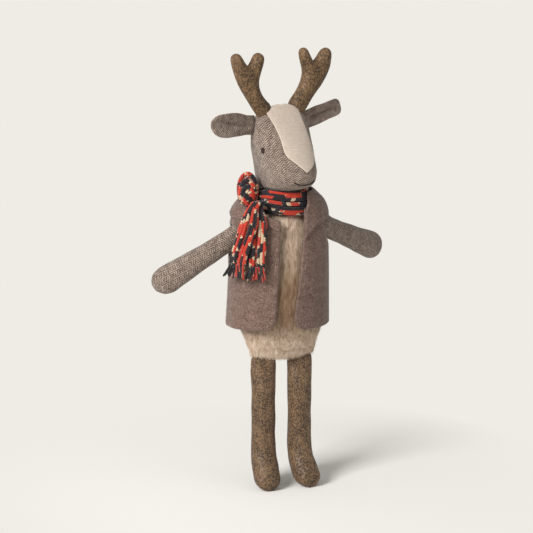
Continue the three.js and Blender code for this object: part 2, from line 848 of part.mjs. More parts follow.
function addCollar() {
  const rings = collarShares.map(([up, wide, deep]) => {
    const depth = (deep * collarDepth) / 2;
    return levelSection(scarfBottom + up * collarHeight, (wide * collarWidth) / 2, depth, depth, vestSides);
  });
  const body = solid(loft(rings)).add(solid(grown(vestShell, clearance + collarThickness)));
  const layer = body
    .subtract(solid(grown(vestShell, clearance)))
    .subtract(scarfRoom())
    .subtract(frontOpening())
    .subtract(knotWithGap)
    .subtract(solid(grown(innerTail, clearance)))
    .subtract(solid(grown(outerTail, clearance)))
    .subtract(armhole(1, shoulderLevelRight, armDroopAngleRight))
    .subtract(armhole(-1, shoulderLevel, armDroopAngleLeft));
  const reach = vestHalfWidth + vestHeight;
  const back = box(corner(-reach, 0, scarfBottom), corner(reach, reach, bodyTop + reach));
  const left = slab(lapelOutline(-1, lapelLeft), -reach, overrun);
  const right = slab(lapelOutline(1, lapelRight), -reach, overrun);
  add(figure, 'vest_collar', layer.intersect(back.add(left).add(right)), felt);
}

// Scarf: a band round the neck, a knot at its left front and two tails that hang over the vest
function scarfBand() {
  const sections = [];
  const radiusX = (scarfWidth - scarfThickness) / 2;
  const radiusY = (scarfDepth - scarfThickness) / 2;
  for (let i = 0; i < scarfSides; i += 1) {
    const turn = (i / scarfSides) * Math.PI * 2;
    const out = new THREE.Vector3(Math.cos(turn), Math.sin(turn), 0);
    const centre = new THREE.Vector3(radiusX * out.x, radiusY * out.y, scarfLevel);
    const half = out.clone().multiplyScalar(scarfThickness / 2);
    const tall = new THREE.Vector3(0, 0, scarfHeight / 2);
    sections.push(section(centre, half, tall.clone().negate(), tall, bandSides, knitSquareness));
  }
  return solid(ringLoft(sections));
}

function knotSkin() {
  const turn = radians(knotTurn);
  const geometry = new THREE.SphereGeometry(1, knotSides, knotRings);
  geometry.rotateX(Math.PI / 2).scale(knotWidth / 2, knotDepth / 2, knotHeight / 2);
  geometry.rotateZ(-turn);
  const x = -(scarfWidth / 2 + knotBulge) * Math.sin(turn);
  const y = -(scarfDepth / 2 + knotBulge) * Math.cos(turn);
  return geometry.translate(x, y, scarfLevel + knotRise);
}

// A tail starts against the band and hangs down the vest, flat against it, with shallow folds along its length
function tailPlaces(turn, drift, length, lift) {
  const places = [];
  for (let i = 0; i <= tailSteps; i += 1) {
    const share = i / tailSteps;
    const angle = radians(turn + drift * share);
    const level = tailTop - share * length;
    const [vestWide, vestDeep] = vestAt(level).map((half) => half + lapelStand);
    const wide = Math.max(vestWide, scarfWidth / 2 + clearance);
    const deep = Math.max(vestDeep, scarfDepth / 2 + clearance);
    const flat = corner(-wide * Math.sin(angle) - vestShift, -deep * Math.cos(angle), level);
    const normal = corner(-Math.sin(angle) / wide, -Math.cos(angle) / deep, 0).normalize();
    const tangent = corner(-normal.y, normal.x, 0);
    const fold = tailFold * share * (1 + Math.sin(share * Math.PI * tailFolds));
    places.push({ centre: flat.addScaledVector(normal, tailThickness / 2 + lift + fold), normal, tangent });
  }
  return places;
}

function tailSkin(places) {
  return loft(places.map((place, i) =>
    stripSection(place, (tailWidth / 2) * THREE.MathUtils.lerp(tailNeckShare, 1, i / tailSteps))));
}

// A level section of a strip that lies flat against the vest
function stripSection({ centre, normal, tangent }, halfWidth, drop = 0) {
  const middle = centre.clone().setZ(centre.z - drop);
  const depth = normal.clone().multiplyScalar(tailThickness / 2);
  return section(middle, tangent.clone().multiplyScalar(halfWidth), depth, depth.clone().negate(), tailSides, knitSquareness);
}

// A fringe is the last row of the knitting with a row of yarn bundles under it
function addFringe(name, place, material) {
  const halfWidth = tailWidth / 2;
  const { normal, tangent } = place;
  const bar = [clearance, clearance + fringeBar].map((drop) => stripSection(place, halfWidth, drop));
  let fringe = solid(loft(bar));
  const barMiddle = place.centre.clone().setZ(place.centre.z - clearance - fringeBar / 2);
  for (let i = 0; i < tasselCount; i += 1) {
    const share = (2 * i + 1) / tasselCount - 1;
    const start = barMiddle.clone().addScaledVector(tangent, share * (halfWidth - tasselRadius));
    const end = start.clone().addScaledVector(tangent, share * tasselSplay).setZ(start.z - tasselLength);
    const rings = [start, end].map((at) => {
      const out = normal.clone().multiplyScalar(tasselRadius);
      return section(at, tangent.clone().multiplyScalar(tasselRadius), out, out.clone().negate(), tasselSides);
    });
    fringe = fringe.add(solid(loft(rings)));
  }
  add(figure, `scarf_fringe_${name}`, fringe, material);
}

function addScarf() {
  const knot = solid(knotSkin());
  const vestWithGap = solid(grown(vestShell, lapelStand));
  const tailsWithGap = solid(grown(innerTail, clearance)).add(solid(grown(outerTail, clearance)));
  add(figure, 'scarf_band', scarfBand().subtract(knotWithGap).subtract(bodyWithGap), knitRed);
  add(figure, 'scarf_knot', knot.subtract(vestWithGap).subtract(bodyWithGap).subtract(tailsWithGap), knitBlack);
  add(figure, 'scarf_tail_inner', solid(innerTail), knitBlack);
  add(figure, 'scarf_tail_outer', solid(outerTail), knitRed);
  addFringe('inner', innerPlaces.at(-1), knitRed);
  addFringe('outer', outerPlaces.at(-1), knitBlack);
}

addBody();
addLeg('left', -1, footAngleLeft);
addLeg('right', 1, footAngleRight);
addArm('left', -1, shoulderLevel, armDroopAngleLeft, armSweepAngleLeft);
addArm('right', 1, shoulderLevelRight, armDroopAngleRight, armSweepAngleRight);
addHead();
addAntler('left', -1);
addAntler('right', 1);
addEar('left', -1, earSweepAngleLeft, earLiftAngleLeft);
addEar('right', 1, earSweepAngleRight, earLiftAngleRight);
addBlaze();
addFace();
addVest();
addCollar();
addScarf();

// The object stands on its soles, centred on its own box
const bounds = new THREE.Box3().setFromObject(deer, true);
const centre = bounds.getCenter(new THREE.Vector3());
figure.position.set(-centre.x, -centre.y, -bounds.min.z);

export default deer;
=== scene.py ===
import json
import math

import bpy
import numpy as np
from mathutils import Matrix, Vector, noise
from mathutils.bvhtree import BVHTree


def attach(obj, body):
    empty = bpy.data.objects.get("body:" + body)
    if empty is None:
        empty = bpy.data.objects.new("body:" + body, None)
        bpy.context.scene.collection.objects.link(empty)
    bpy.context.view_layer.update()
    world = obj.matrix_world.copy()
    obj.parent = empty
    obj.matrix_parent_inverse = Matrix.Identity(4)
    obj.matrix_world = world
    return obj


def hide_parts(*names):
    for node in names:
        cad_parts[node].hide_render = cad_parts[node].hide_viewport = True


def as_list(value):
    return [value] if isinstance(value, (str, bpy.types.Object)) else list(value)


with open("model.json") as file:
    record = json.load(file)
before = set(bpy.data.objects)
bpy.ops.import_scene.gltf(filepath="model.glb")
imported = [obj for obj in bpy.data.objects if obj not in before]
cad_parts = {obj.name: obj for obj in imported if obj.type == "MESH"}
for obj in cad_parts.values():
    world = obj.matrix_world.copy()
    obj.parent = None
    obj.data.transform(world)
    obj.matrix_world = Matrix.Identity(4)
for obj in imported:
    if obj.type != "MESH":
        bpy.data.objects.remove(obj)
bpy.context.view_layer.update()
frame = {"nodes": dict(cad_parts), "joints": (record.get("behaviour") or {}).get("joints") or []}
rng = np.random.default_rng(11)
MM = 0.001
TAU = 2 * math.pi
radians = math.radians
SIDES = {-1: "left", 1: "right"}

# Sizes of the part in millimetres and degrees; a table of shares gives a height or reach first, then the widths there
clearance = 0.3
body_width, body_depth, body_height, neck_radius = 76, 61.6, 133, 14
body_shares = [
    (0, 0.68, 0.1), (0.025, 0.72, 0.22), (0.06, 0.765, 0.4), (0.113, 0.83, 0.585), (0.188, 0.905, 0.765),
    (0.3, 0.97, 0.915), (0.45, 1, 1), (0.6, 0.975, 0.95), (0.714, 0.9, 0.86), (0.812, 0.8, 0.74),
    (0.895, 0.62, 0.6), (0.95, 0.43, 0.5),
]
root_turns = (65, 35, 0)
hip_height, hip_spacing, hip_radius, leg_width, foot_reach, leg_root = 110.5, 32, 2.6, 20.6, 17, 21.4
leg_yaw = {-1: 2, 1: 12}
leg_shares = [
    (0.05, 1.07, 0.42, 0, 0, 0), (0.1, 1.06, 0.62, 0, 0, 0), (0.15, 1.03, 0.8, 0, 0, 0), (0.22, 1, 0.95, 0, 0, 0),
    (0.36, 0.98, 0.99, 0, 0, 0), (0.56, 0.97, 0.97, 0, 0, 0), (0.7, 1.02, 1.02, 0.02, 0.4, 4),
    (0.785, 1.06, 1.08, 0.14, 0.8, 16), (0.855, 1.1, 1.12, 0.42, 1, 34), (0.922, 1.08, 1.04, 0.8, 1, 53),
    (0.944, 0.92, 0.76, 1.14, 1, 66), (0.965, 0.56, 0.42, 1.34, 1, 72),
]
arm_length, hand_width, hand_depth, arm_root, shoulder_radius = 86, 23.6, 19, 20.5, 5.5
arm_droop, arm_sweep = {-1: 33, 1: 22}, {-1: 18, 1: 34}
arm_shares = [(0.14, 0.79, 0.7), (0.32, 0.79, 0.84), (0.52, 0.86, 0.92), (0.7, 0.95, 1), (0.83, 1, 0.98),
              (0.92, 0.86, 0.8), (0.965, 0.6, 0.54), (0.992, 0.3, 0.24)]
head_height, head_width, head_front, head_back, head_turn, head_power = 79, 48.5, 41, 25.5, 13, 2.3
head_shares = [
    (0.11, 0.57, 0.36, 0.56), (0.14, 0.72, 0.56, 0.7), (0.175, 0.82, 0.78, 0.78), (0.215, 0.86, 0.9, 0.8),
    (0.265, 0.88, 0.98, 0.83), (0.33, 0.9, 1, 0.87), (0.4, 0.925, 0.93, 0.92), (0.48, 0.96, 0.81, 0.97),
    (0.58, 1, 0.65, 1), (0.68, 1, 0.5, 1), (0.78, 0.97, 0.36, 0.96), (0.87, 0.88, 0.22, 0.86),
    (0.94, 0.68, 0.11, 0.66), (0.985, 0.35, 0.04, 0.34),
]
# Height on the head, and how far the pale panel reaches to the side there
blaze_low = 28
blaze_left = [(blaze_low, 0.05), (30, 1.6), (32.4, 3.9), (35.9, 7.2), (38.7, 10), (41.5, 11.6), (44.4, 12.1),
              (52.6, 11.9), (58.8, 12.5), (65.5, 13.8), (72, 15.6), (head_height, 17.5)]
blaze_right = [(blaze_low, 0.6), (29, 3), (30.7, 6.6), (33, 10), (36.1, 13.2), (41.3, 15.3), (50.8, 16.2),
               (59.2, 15.4), (68.5, 14.7), (74.7, 14.2), (head_height, 13)]
antler_back, antler_step = 3.0, 0.5
antler_outlines = {
    "left": [
        (-19, 68), (-23.9, 74.1), (-31.2, 85.2), (-37.9, 95.5), (-41.4, 103.5), (-44, 110.7), (-45.8, 118.7),
        (-44.7, 122.2), (-41.5, 124.1), (-38, 123.2), (-35.3, 119.6), (-32.6, 115.2), (-30, 112.6), (-27.6, 115.6),
        (-25, 120.6), (-22.3, 123.4), (-18.6, 123.2), (-15.7, 121), (-15.2, 117.6), (-16.6, 111.9), (-19.4, 104.5),
        (-20.7, 98.4), (-18.7, 90.8), (-14, 84.4), (-9.4, 80.4), (-8.5, 74), (-12, 68),
    ],
    "right": [
        (10, 68), (8, 75), (9.2, 81.2), (17.6, 91), (21.7, 99.9), (22.3, 106), (19.8, 114.8), (18.6, 121),
        (20, 124.6), (23.2, 125.7), (26.2, 124.2), (28.4, 119.4), (32.2, 113), (35.6, 116.4), (39.6, 122.2),
        (43.4, 124.5), (47.2, 123.6), (49.2, 120.4), (49.2, 116.6), (48.4, 110.4), (46.6, 104.6), (40.5, 94.2),
        (30.5, 83.1), (24.4, 73.7), (20, 68),
    ],
}
ear_length, ear_width, ear_root, ear_half_thickness = 41.5, 19, 2.4, 2.5
ear_sweep, ear_lift = {-1: -6, 1: 8}, {-1: 5, 1: 12}
ear_shares = [(0.12, 0.86), (0.35, 1), (0.6, 1.07), (0.8, 1), (0.9, 0.82), (0.96, 0.57), (0.985, 0.34),
              (0.996, 0.14)]
vest_thickness, vest_fit, vest_shift, vest_hem, vest_rise = 2.2, 2.7, 2.4, 28, 6
vest_shares = [
    (-0.1, 1.01, 1), (0.2, 1.005, 1), (0.45, 1, 0.995), (0.6, 0.995, 0.94), (0.71, 0.985, 0.87), (0.8, 0.965, 0.79),
    (0.87, 0.92, 0.71), (0.93, 0.83, 0.63), (0.98, 0.68, 0.54), (1.01, 0.5, 0.4),
]
armhole_height, armhole_depth, hem_corner = 28, 30, 11
# How far the cut edge of each front is from the middle, at its top and its hem
openings = {-1: (7.5, 15), 1: (16, 1)}
collar_width, collar_depth, collar_height, lapel_thickness = 77, 59, 20, 2.3
vest_neck, collar_neck = 25.4, 24.9
collar_shares = [(0, 1, 0.95), (0.3, 0.965, 0.985), (0.65, 0.88, 1), (0.85, 0.77, 0.965), (1, 0.69, 0.9)]
# How far out each lapel's edge is, and how far below the scarf
lapels = {-1: [(0, 17.6), (22, 4.6), (40, 1.6)], 1: [(0, 26), (21.5, 9), (31, 5.5)]}
scarf_height, scarf_thickness, scarf_width, scarf_power = 21, 9, 50, 2.6
knot_width, knot_height, knot_depth, knot_turn, knot_rise, knot_bulge = 17, 28, 17, 75, 10, 7
tail_width, tail_thickness = 16, 4.6
band_ropes, knot_ropes, tail_ropes, fringe_strands, lane_step = 18, 10, 14, 22, 37.0

# Places worked out from the sizes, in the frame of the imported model
hinge = {j["name"]: [v / MM for v in j["pos_m"]] for j in frame["joints"]}
body_base = hip_height + hip_radius + clearance
body_top = body_base + body_height
head_base = body_top + clearance
vest_base = body_base + vest_hem
vest_height = body_top + vest_rise - vest_base
vest_top = vest_base + vest_height + 6
vest_half_width = body_width / 2 + vest_fit + vest_thickness
vest_half_depth = body_depth / 2 + vest_fit + vest_thickness
scarf_level = body_top - clearance
scarf_bottom = scarf_level - scarf_height / 2
neck = hinge["neck_turn"]
FIGURE = Matrix.Translation((neck[0], neck[1], neck[2] - head_base))
HEAD = FIGURE @ Matrix.Translation((0, 0, head_base)) @ Matrix.Rotation(radians(head_turn), 4, "Z")
floor_level = -FIGURE.translation.z
origin = np.array(FIGURE.translation)
shoulder = {side: hinge[f"shoulder_{name}_swing"][2] - FIGURE.translation.z for side, name in SIDES.items()}
shoulder_reach = (hinge["shoulder_right_swing"][0] - hinge["shoulder_left_swing"][0]) / 2


def smoothstep(x, low, high):
    t = np.clip((x - low) / (high - low), 0, 1)
    return t * t * (3 - 2 * t)


def bump(x, middle, width):
    return np.exp(-(((x - middle) / width) ** 2))


def unit(vectors):
    return vectors / (np.linalg.norm(vectors, axis=-1, keepdims=True) + 1e-12)


def running(lengths):
    """How far along each joint of a chain is"""
    return np.cumsum(np.insert(lengths, 0, 0, axis=-1), axis=-1)


def oval(angle, power):
    """A unit circle's cosine and sine, with flatter sides the further power is over 2"""
    return [np.sign(w) * np.abs(w) ** (2 / power) for w in (np.cos(angle), np.sin(angle))]


def grain(points, size, shift):
    """Smooth noise at each point, with lumps of about that size"""
    return np.array([noise.noise(Vector(p)) for p in np.asarray(points) / size + shift])


def pchip(xs, table, at):
    """Each column of a table at new places, without overshoot"""
    xs, y, at = np.asarray(xs, float), np.asarray(table, float), np.atleast_1d(np.asarray(at, float))
    h = np.diff(xs)[:, None]
    d = np.diff(y, axis=0) / h
    m = np.zeros_like(y)
    m[0], m[-1] = d[0], d[-1]
    for i in range(1, len(xs) - 1):
        w1, w2 = 2 * h[i] + h[i - 1], h[i] + 2 * h[i - 1]
        with np.errstate(divide="ignore", invalid="ignore"):
            mean = (w1 + w2) / (w1 / d[i - 1] + w2 / d[i])
        m[i] = np.where(d[i - 1] * d[i] > 0, mean, 0)
    k = np.clip(np.searchsorted(xs, at, side="right") - 1, 0, len(xs) - 2)
    hk = h[k]
    t = (at - xs[k])[:, None] / hk
    return (
        (2 * t**3 - 3 * t**2 + 1) * y[k] + (t**3 - 2 * t**2 + t) * hk * m[k]
        + (3 * t**2 - 2 * t**3) * y[k + 1] + (t**3 - t**2) * hk * m[k + 1]
    )


def half_at(levels, halves, z):
    """Half width and half depth at levels z, the same beyond the two ends"""
    return pchip(levels, halves, np.clip(z, levels[0], levels[-1]))


def row(centre, across, front, back):
    """One section of a limb, as twelve numbers"""
    return np.array([*centre, *across, *front, *back], float)


def level_row(level, half, front, back=None):
    return row((0, 0, level), (half, 0, 0), (0, -front, 0), (0, front if back is None else back, 0))


def side_row(centre, across, depth):
    return row(centre, across, (0, -depth, 0), (0, depth, 0))


def ring_points(section, count, power):
    centre, across, front, back = section.reshape(4, 3)
    u, v = (w[:, None] for w in oval(np.arange(count) / count * TAU, power))
    return centre + u * across + np.maximum(-v, 0) * front + np.maximum(v, 0) * back


def dense_grid(rows, around, step, power=2.0):
    """Rings about one step apart, smooth through the rows"""
    rows = np.array(rows)
    rough = np.array([ring_points(r, 24, power) for r in rows])
    gaps = np.linalg.norm(np.diff(rough, axis=0), axis=2).mean(axis=1)
    along = running(np.maximum(gaps, 1e-3))
    at = np.linspace(0, along[-1], max(8, int(along[-1] / step)))
    return np.array([ring_points(r, around, power) for r in pchip(along, rows, at)])


def add_piece(name, points, faces, uvs):
    """A piece from points in metres; uvs are one pair for each corner of a face"""
    mesh = bpy.data.meshes.new(name)
    mesh.from_pydata(points.tolist(), [], faces)
    mesh.uv_layers.new(name="cloth").data.foreach_set("uv", np.asarray(uvs, np.float32).ravel())
    mesh.polygons.foreach_set("use_smooth", [True] * len(mesh.polygons))
    mesh.update()
    piece = bpy.data.objects.new(name, mesh)
    bpy.context.scene.collection.objects.link(piece)
    return piece


def link(name, points, faces, uvs, matrix=FIGURE):
    """A piece from points in millimetres, with its faces turned out"""
    fans = np.array([(f[0], f[i], f[i + 1]) for f in faces for i in range(1, len(f) - 1)])
    a, b, c = (points[fans[:, i]] for i in range(3))
    if np.einsum("ij,ij->", a, np.cross(b, c)) < 0:
        ends = np.cumsum([len(f) for f in faces])
        uvs = np.concatenate([uvs[end - len(f):end][::-1] for f, end in zip(faces, ends)])
        faces = [f[::-1] for f in faces]
    placed = points @ np.array(matrix.to_3x3()).T + np.array(matrix.translation)
    return add_piece(name, placed * MM, faces, uvs)


def loft(name, grid, matrix=FIGURE):
    """A closed skin over rings, with uvs unrolled from its front and its back"""
    rings, around = grid.shape[:2]
    closed = np.concatenate([grid, grid[:, :1]], axis=1)
    run = running(np.linalg.norm(np.diff(closed, axis=1), axis=2))
    back, front = run - run[:, [around // 4]], run - run[:, [3 * around // 4]]
    up = running(np.linalg.norm(np.diff(grid, axis=0), axis=2).mean(axis=1))
    faces, uvs = [], []
    for r in range(rings - 1):
        for i in range(around):
            side = back if i < around // 2 else front
            corners = [(r, i), (r, i + 1), (r + 1, i + 1), (r + 1, i)]
            faces.append([q * around + j % around for q, j in corners])
            uvs += [(side[q, j], up[q]) for q, j in corners]
    tips = []
    for r, way in ((0, -1), (rings - 1, 1)):
        for i in range(around):
            ends = [r * around + i, r * around + (i + 1) % around]
            faces.append([*ends[::way], rings * around + len(tips)])
            uvs += [(0, up[r])] * 3
        tips.append(grid[r].mean(axis=0))
    return link(name, np.concatenate([grid.reshape(-1, 3), tips]), faces, np.array(uvs), matrix)


def move_out(piece, amount, matrix=FIGURE):
    """Moves the vertices out by amount(points in the piece's own millimetres), in millimetres"""
    vertices = piece.data.vertices
    back = matrix.inverted()
    amounts = amount(np.array([back @ (v.co / MM) for v in vertices]))
    moved = [v.co + v.normal * float(far) * MM for v, far in zip(vertices, amounts)]
    for v, co in zip(vertices, moved):
        v.co = co
    piece.data.update()


class Parts:
    """Gathers many small shapes into one mesh"""

    def __init__(self):
        self.points, self.faces, self.uvs, self.count = [], [], [], 0

    def add(self, points, faces, uvs):
        self.points.append(points)
        self.faces += [[i + self.count for i in f] for f in faces]
        self.uvs.append(uvs)
        self.count += len(points)

    def link(self, name, matrix=FIGURE):
        return link(name, np.concatenate(self.points), self.faces, np.concatenate(self.uvs), matrix)


def frames_along(path, up):
    """Two directions across a path, square to each other"""
    tangent = unit(np.gradient(path, axis=0))
    side = unit(np.cross(tangent, up))
    return side, np.cross(side, tangent)


def resample(path, step):
    """A path in even steps, and how far along each of its points is"""
    run = running(np.linalg.norm(np.diff(path, axis=0), axis=1))
    at = np.linspace(0, run[-1], max(4, int(run[-1] / step)))
    return np.stack([np.interp(at, run, path[:, k]) for k in range(3)], 1), at


def tube_parts(path, radius, sides=6, uv=(0, 0), taper=True, axis=None):
    """A round tube along a path, with the run in u and the lane in v; its fraction is the height over the axis"""
    path = np.asarray(path, float)
    side, other = frames_along(path, (0.31, 0.52, 0.79))
    radii = np.full(len(path), radius, float)
    if taper:
        radii[[0, -1]] *= 0.4
    angle = np.arange(sides) / sides * TAU
    wheel = np.cos(angle)[None, :, None] * side[:, None] - np.sin(angle)[None, :, None] * other[:, None]
    grid = path[:, None] + wheel * radii[:, None, None]
    run = running(np.linalg.norm(np.diff(path, axis=0), axis=1)) + uv[0]
    height = np.zeros(grid.shape[:2])
    if axis is not None:
        height = np.linalg.norm(grid - axis[:, None], axis=2)
        height = 0.95 * height / height.max()
    lane = uv[1] + height
    faces, uvs = [], []
    for r in range(len(path) - 1):
        for i in range(sides):
            corners = [(r, i), (r + 1, i), (r + 1, (i + 1) % sides), (r, (i + 1) % sides)]
            faces.append([q * sides + j for q, j in corners])
            uvs += [(run[q], lane[q, j]) for q, j in corners]
    faces += [list(range(sides)), [(len(path) - 1) * sides + i for i in reversed(range(sides))]]
    uvs += [(run[0], uv[1])] * sides + [(run[-1], uv[1])] * sides
    return grid.reshape(-1, 3), faces, uvs


def triangles_of(rows, columns, wrap):
    faces = []
    for r in range(rows - 1):
        for c in range(columns if wrap else columns - 1):
            a, b = r * columns + c, r * columns + (c + 1) % columns
            faces += [(a, b, b + columns), (a, b + columns, a + columns)]
    return faces


def clip(points, triangles, values, uvs):
    """The part of a mesh where values are above zero, cut cleanly along zero; uvs are one pair per point"""
    points, uvs, values = list(map(tuple, points)), list(map(tuple, uvs)), list(values)
    cuts, kept = {}, []

    def cut(a, b):
        key = (min(a, b), max(a, b))
        if key not in cuts:
            share = values[a] / (values[a] - values[b])
            for items in (points, uvs):
                items.append(tuple(p + (q - p) * share for p, q in zip(items[a], items[b])))
            values.append(0.0)
            cuts[key] = len(points) - 1
        return cuts[key]

    for t in triangles:
        inside = [values[i] > 0 for i in t]
        if all(inside):
            kept.append(t)
        elif any(inside):
            shape = []
            for a, b in zip(t, t[1:] + t[:1]):
                if values[a] > 0:
                    shape.append(a)
                if (values[a] > 0) != (values[b] > 0):
                    shape.append(cut(a, b))
            kept += [(shape[0], shape[i], shape[i + 1]) for i in range(1, len(shape) - 1)]
    used = sorted({i for t in kept for i in t})
    renumber = {old: new for new, old in enumerate(used)}
    faces = [tuple(renumber[i] for i in t) for t in kept if len(set(t)) == 3]
    return (np.array([points[i] for i in used]), faces, np.array([uvs[i] for i in used]),
            np.array([values[i] for i in used]))


def two_skins(near, far, faces, uvs, far_uvs):
    """Points, faces and corner uvs of the closed shape between two like sheets"""
    count = len(near)
    edges = {(t[i], t[(i + 1) % 3]): None for t in faces for i in range(3)}
    skin = list(faces) + [(a + count, c + count, b + count) for a, b, c in faces]
    skin += [(b, a, a + count, b + count) for a, b in edges if (b, a) not in edges]
    corners = np.concatenate([uvs, far_uvs])[[i for f in skin for i in f]]
    return np.concatenate([near, far]), skin, corners


def felt(name, grid, field, uvs, thickness, lift, rounding=1.1, matrix=FIGURE):
    """A thick layer from lift to lift + thickness over a round skin, where field, the distance inside, is above zero"""
    points, faces, uvs, edge = clip(grid.reshape(-1, 3), triangles_of(*grid.shape[:2], True), field, uvs)
    corners = np.array(faces)
    a, b, c = (points[corners[:, i]] for i in range(3))
    flat = np.cross(b - a, c - a)
    normal = np.zeros_like(points)
    for i in range(3):
        np.add.at(normal, corners[:, i], flat)
    normal = unit(normal)
    away = np.clip(edge / rounding, 0, 1)
    half = thickness / 2 * np.sqrt(np.clip(1 - (1 - away) ** 2, 0.04, 1))
    middle = lift + thickness / 2
    near, far = (points + normal * (middle + way * half)[:, None] for way in (1, -1))
    return link(name, *two_skins(near, far, faces, uvs, uvs), matrix)


def rounded(outline):
    """The outline with its corners cut off three times"""
    points = np.array(outline, float)
    for _ in range(3):
        after = np.roll(points, -1, axis=0)
        points = np.stack([points * 0.75 + after * 0.25, points * 0.25 + after * 0.75], 1).reshape(-1, 2)
    return points


def inside_outline(outline, x, y):
    """Signed distance inside a polygon"""
    points = np.array(outline, float)
    best, inside = np.full(len(x), 1e9), np.zeros(len(x), bool)
    for (ax, ay), (bx, by) in zip(points, np.roll(points, -1, axis=0)):
        t = np.clip(((x - ax) * (bx - ax) + (y - ay) * (by - ay)) / ((bx - ax) ** 2 + (by - ay) ** 2), 0, 1)
        best = np.minimum(best, np.hypot(x - ax - t * (bx - ax), y - ay - t * (by - ay)))
        crosses = (ay > y) != (by > y)
        with np.errstate(divide="ignore", invalid="ignore"):
            inside ^= crosses & (x < (bx - ax) * (y - ay) / (by - ay) + ax)
    return np.where(inside, best, -best)


# Torso
body_rows = [level_row(body_base + up * body_height, wide * body_width / 2, deep * body_depth / 2)
             for up, wide, deep in body_shares]
body_rows.append(level_row(body_top, neck_radius, neck_radius))
body_grid = dense_grid(body_rows, 160, 1.4)
# Below, it spreads a little, and its two corners turn up
low = 1 - np.clip((body_grid[..., 2] - body_base) / 24, 0, 1)
body_grid[..., 2] += 5 * low**1.3 * np.clip(np.abs(body_grid[..., 0]) / (body_width / 2), 0, 1) ** 2
body_grid[..., 0] *= 1 + 0.07 * low**3
body = loft("body", body_grid)
move_out(body, lambda p: 0.7 * grain(p, 26, (3, 0, -3)) + 0.25 * grain(p, 9, (7, 0, -7)))


def leg_rows(yaw):
    """A half-round root at the hip, and then down to the toes, which turn out by yaw"""
    rows = []
    for turn in map(radians, root_turns):
        rise = hip_radius * math.sin(turn)
        rows.append(level_row(hip_height + rise, (leg_root - rise) / 2, hip_radius * math.cos(turn)))
    for down, wide, deep, forward, out, tilted in leg_shares:
        tilt, depth = radians(tilted), deep * leg_width / 2
        turn = np.array(Matrix.Rotation(radians(out * yaw), 3, "Z"))
        back = turn @ (0, math.cos(tilt) * depth, -math.sin(tilt) * depth)
        rows.append(row(turn @ (0, -forward * foot_reach, hip_height * (1 - down)),
                        turn @ (wide * leg_width / 2, 0, 0), -back, back))
    return rows


# Legs, each pressed softly flat where it stands
sole_soft = 0.6
legs = {}
for side, side_name in SIDES.items():
    grid = dense_grid(leg_rows(side * leg_yaw[side]), 96, 1.0)
    grid[..., 0] += side * hip_spacing / 2
    over = grid[..., 2] - floor_level - sole_soft
    grid[..., 2] = np.where(over < 0, floor_level + sole_soft * np.exp(np.minimum(over, 0) / sole_soft), grid[..., 2])
    legs[side_name] = loft(f"leg_{side_name}", grid)
    move_out(legs[side_name], lambda p: (
        0.55 * grain(p, 15, (4, 0, -4)) * smoothstep(p[:, 2], 2, 12) * smoothstep(p[:, 2], 112, 100)))


def arm_rows(side):
    """A half-round root at the shoulder, and then out to the hand"""
    down = radians(arm_droop[side])
    along = np.array([side * math.cos(down), 0, -math.sin(down)])
    square = np.array([side * math.sin(down), 0, math.cos(down)])
    rows = []
    for turn in map(radians, root_turns):
        rows.append(side_row((-side * shoulder_radius * math.sin(turn), 0, 0),
                             (0, 0, arm_root / 2 * math.cos(turn / 2)), shoulder_radius * math.cos(turn)))
    for i, (out, wide, deep) in enumerate(arm_shares):
        across = square if i else unit(square + (0, 0, 1))
        rows.append(side_row(along * out * arm_length, across * wide * hand_width / 2, deep * hand_depth / 2))
    return rows


# Arms
arms = {}
for side, side_name in SIDES.items():
    place = FIGURE @ Matrix.Translation((side * shoulder_reach, 0, shoulder[side]))
    place = place @ Matrix.Rotation(side * radians(arm_sweep[side]), 4, "Z")
    arms[side_name] = loft(f"arm_{side_name}", dense_grid(arm_rows(side), 96, 1.0), place)
    move_out(arms[side_name], lambda p: 0.5 * grain(p, 14, (6, 0, -6)) * smoothstep(np.abs(p[:, 0]), 12, 24), place)

# Head
head_levels = [0] + [up * head_height for up, *_ in head_shares] + [head_height]
head_values = [(neck_radius,) * 3]
head_values += [(wide * head_width / 2, front * head_front, back * head_back) for _, wide, front, back in head_shares]
head_values.append(tuple(v / 3 for v in head_values[-1]))
head_rows = [level_row(z, *v) for z, v in zip(head_levels, head_values)]
head = loft("head", dense_grid(head_rows, 200, 0.8, head_power), HEAD)


def head_point(turn, level, out=0.0):
    """A place on the head's front, at a turn from its middle"""
    half, front, _ = pchip(head_levels, head_values, level)[0]
    c, s = oval(radians(turn), head_power)
    return np.array([(half + out) * s, -(front + out) * abs(c), level])


# The pale panel of the face
panel = dense_grid(head_rows, 360, 0.45, head_power)
x, y, z = (panel[..., k].ravel() for k in range(3))
reaches = [pchip(*zip(*[(level, [wide]) for level, wide in edge]), np.clip(z, blaze_low, head_height))[:, 0]
           for edge in (blaze_left, blaze_right)]
field = np.minimum.reduce([reaches[1] - x, reaches[0] + x, 1.5 - y, (z - blaze_low + 0.2) * 0.6])
blaze = felt("blaze", panel, field, np.stack([x, z], 1), 1.1, 0.1, 1.6, HEAD)


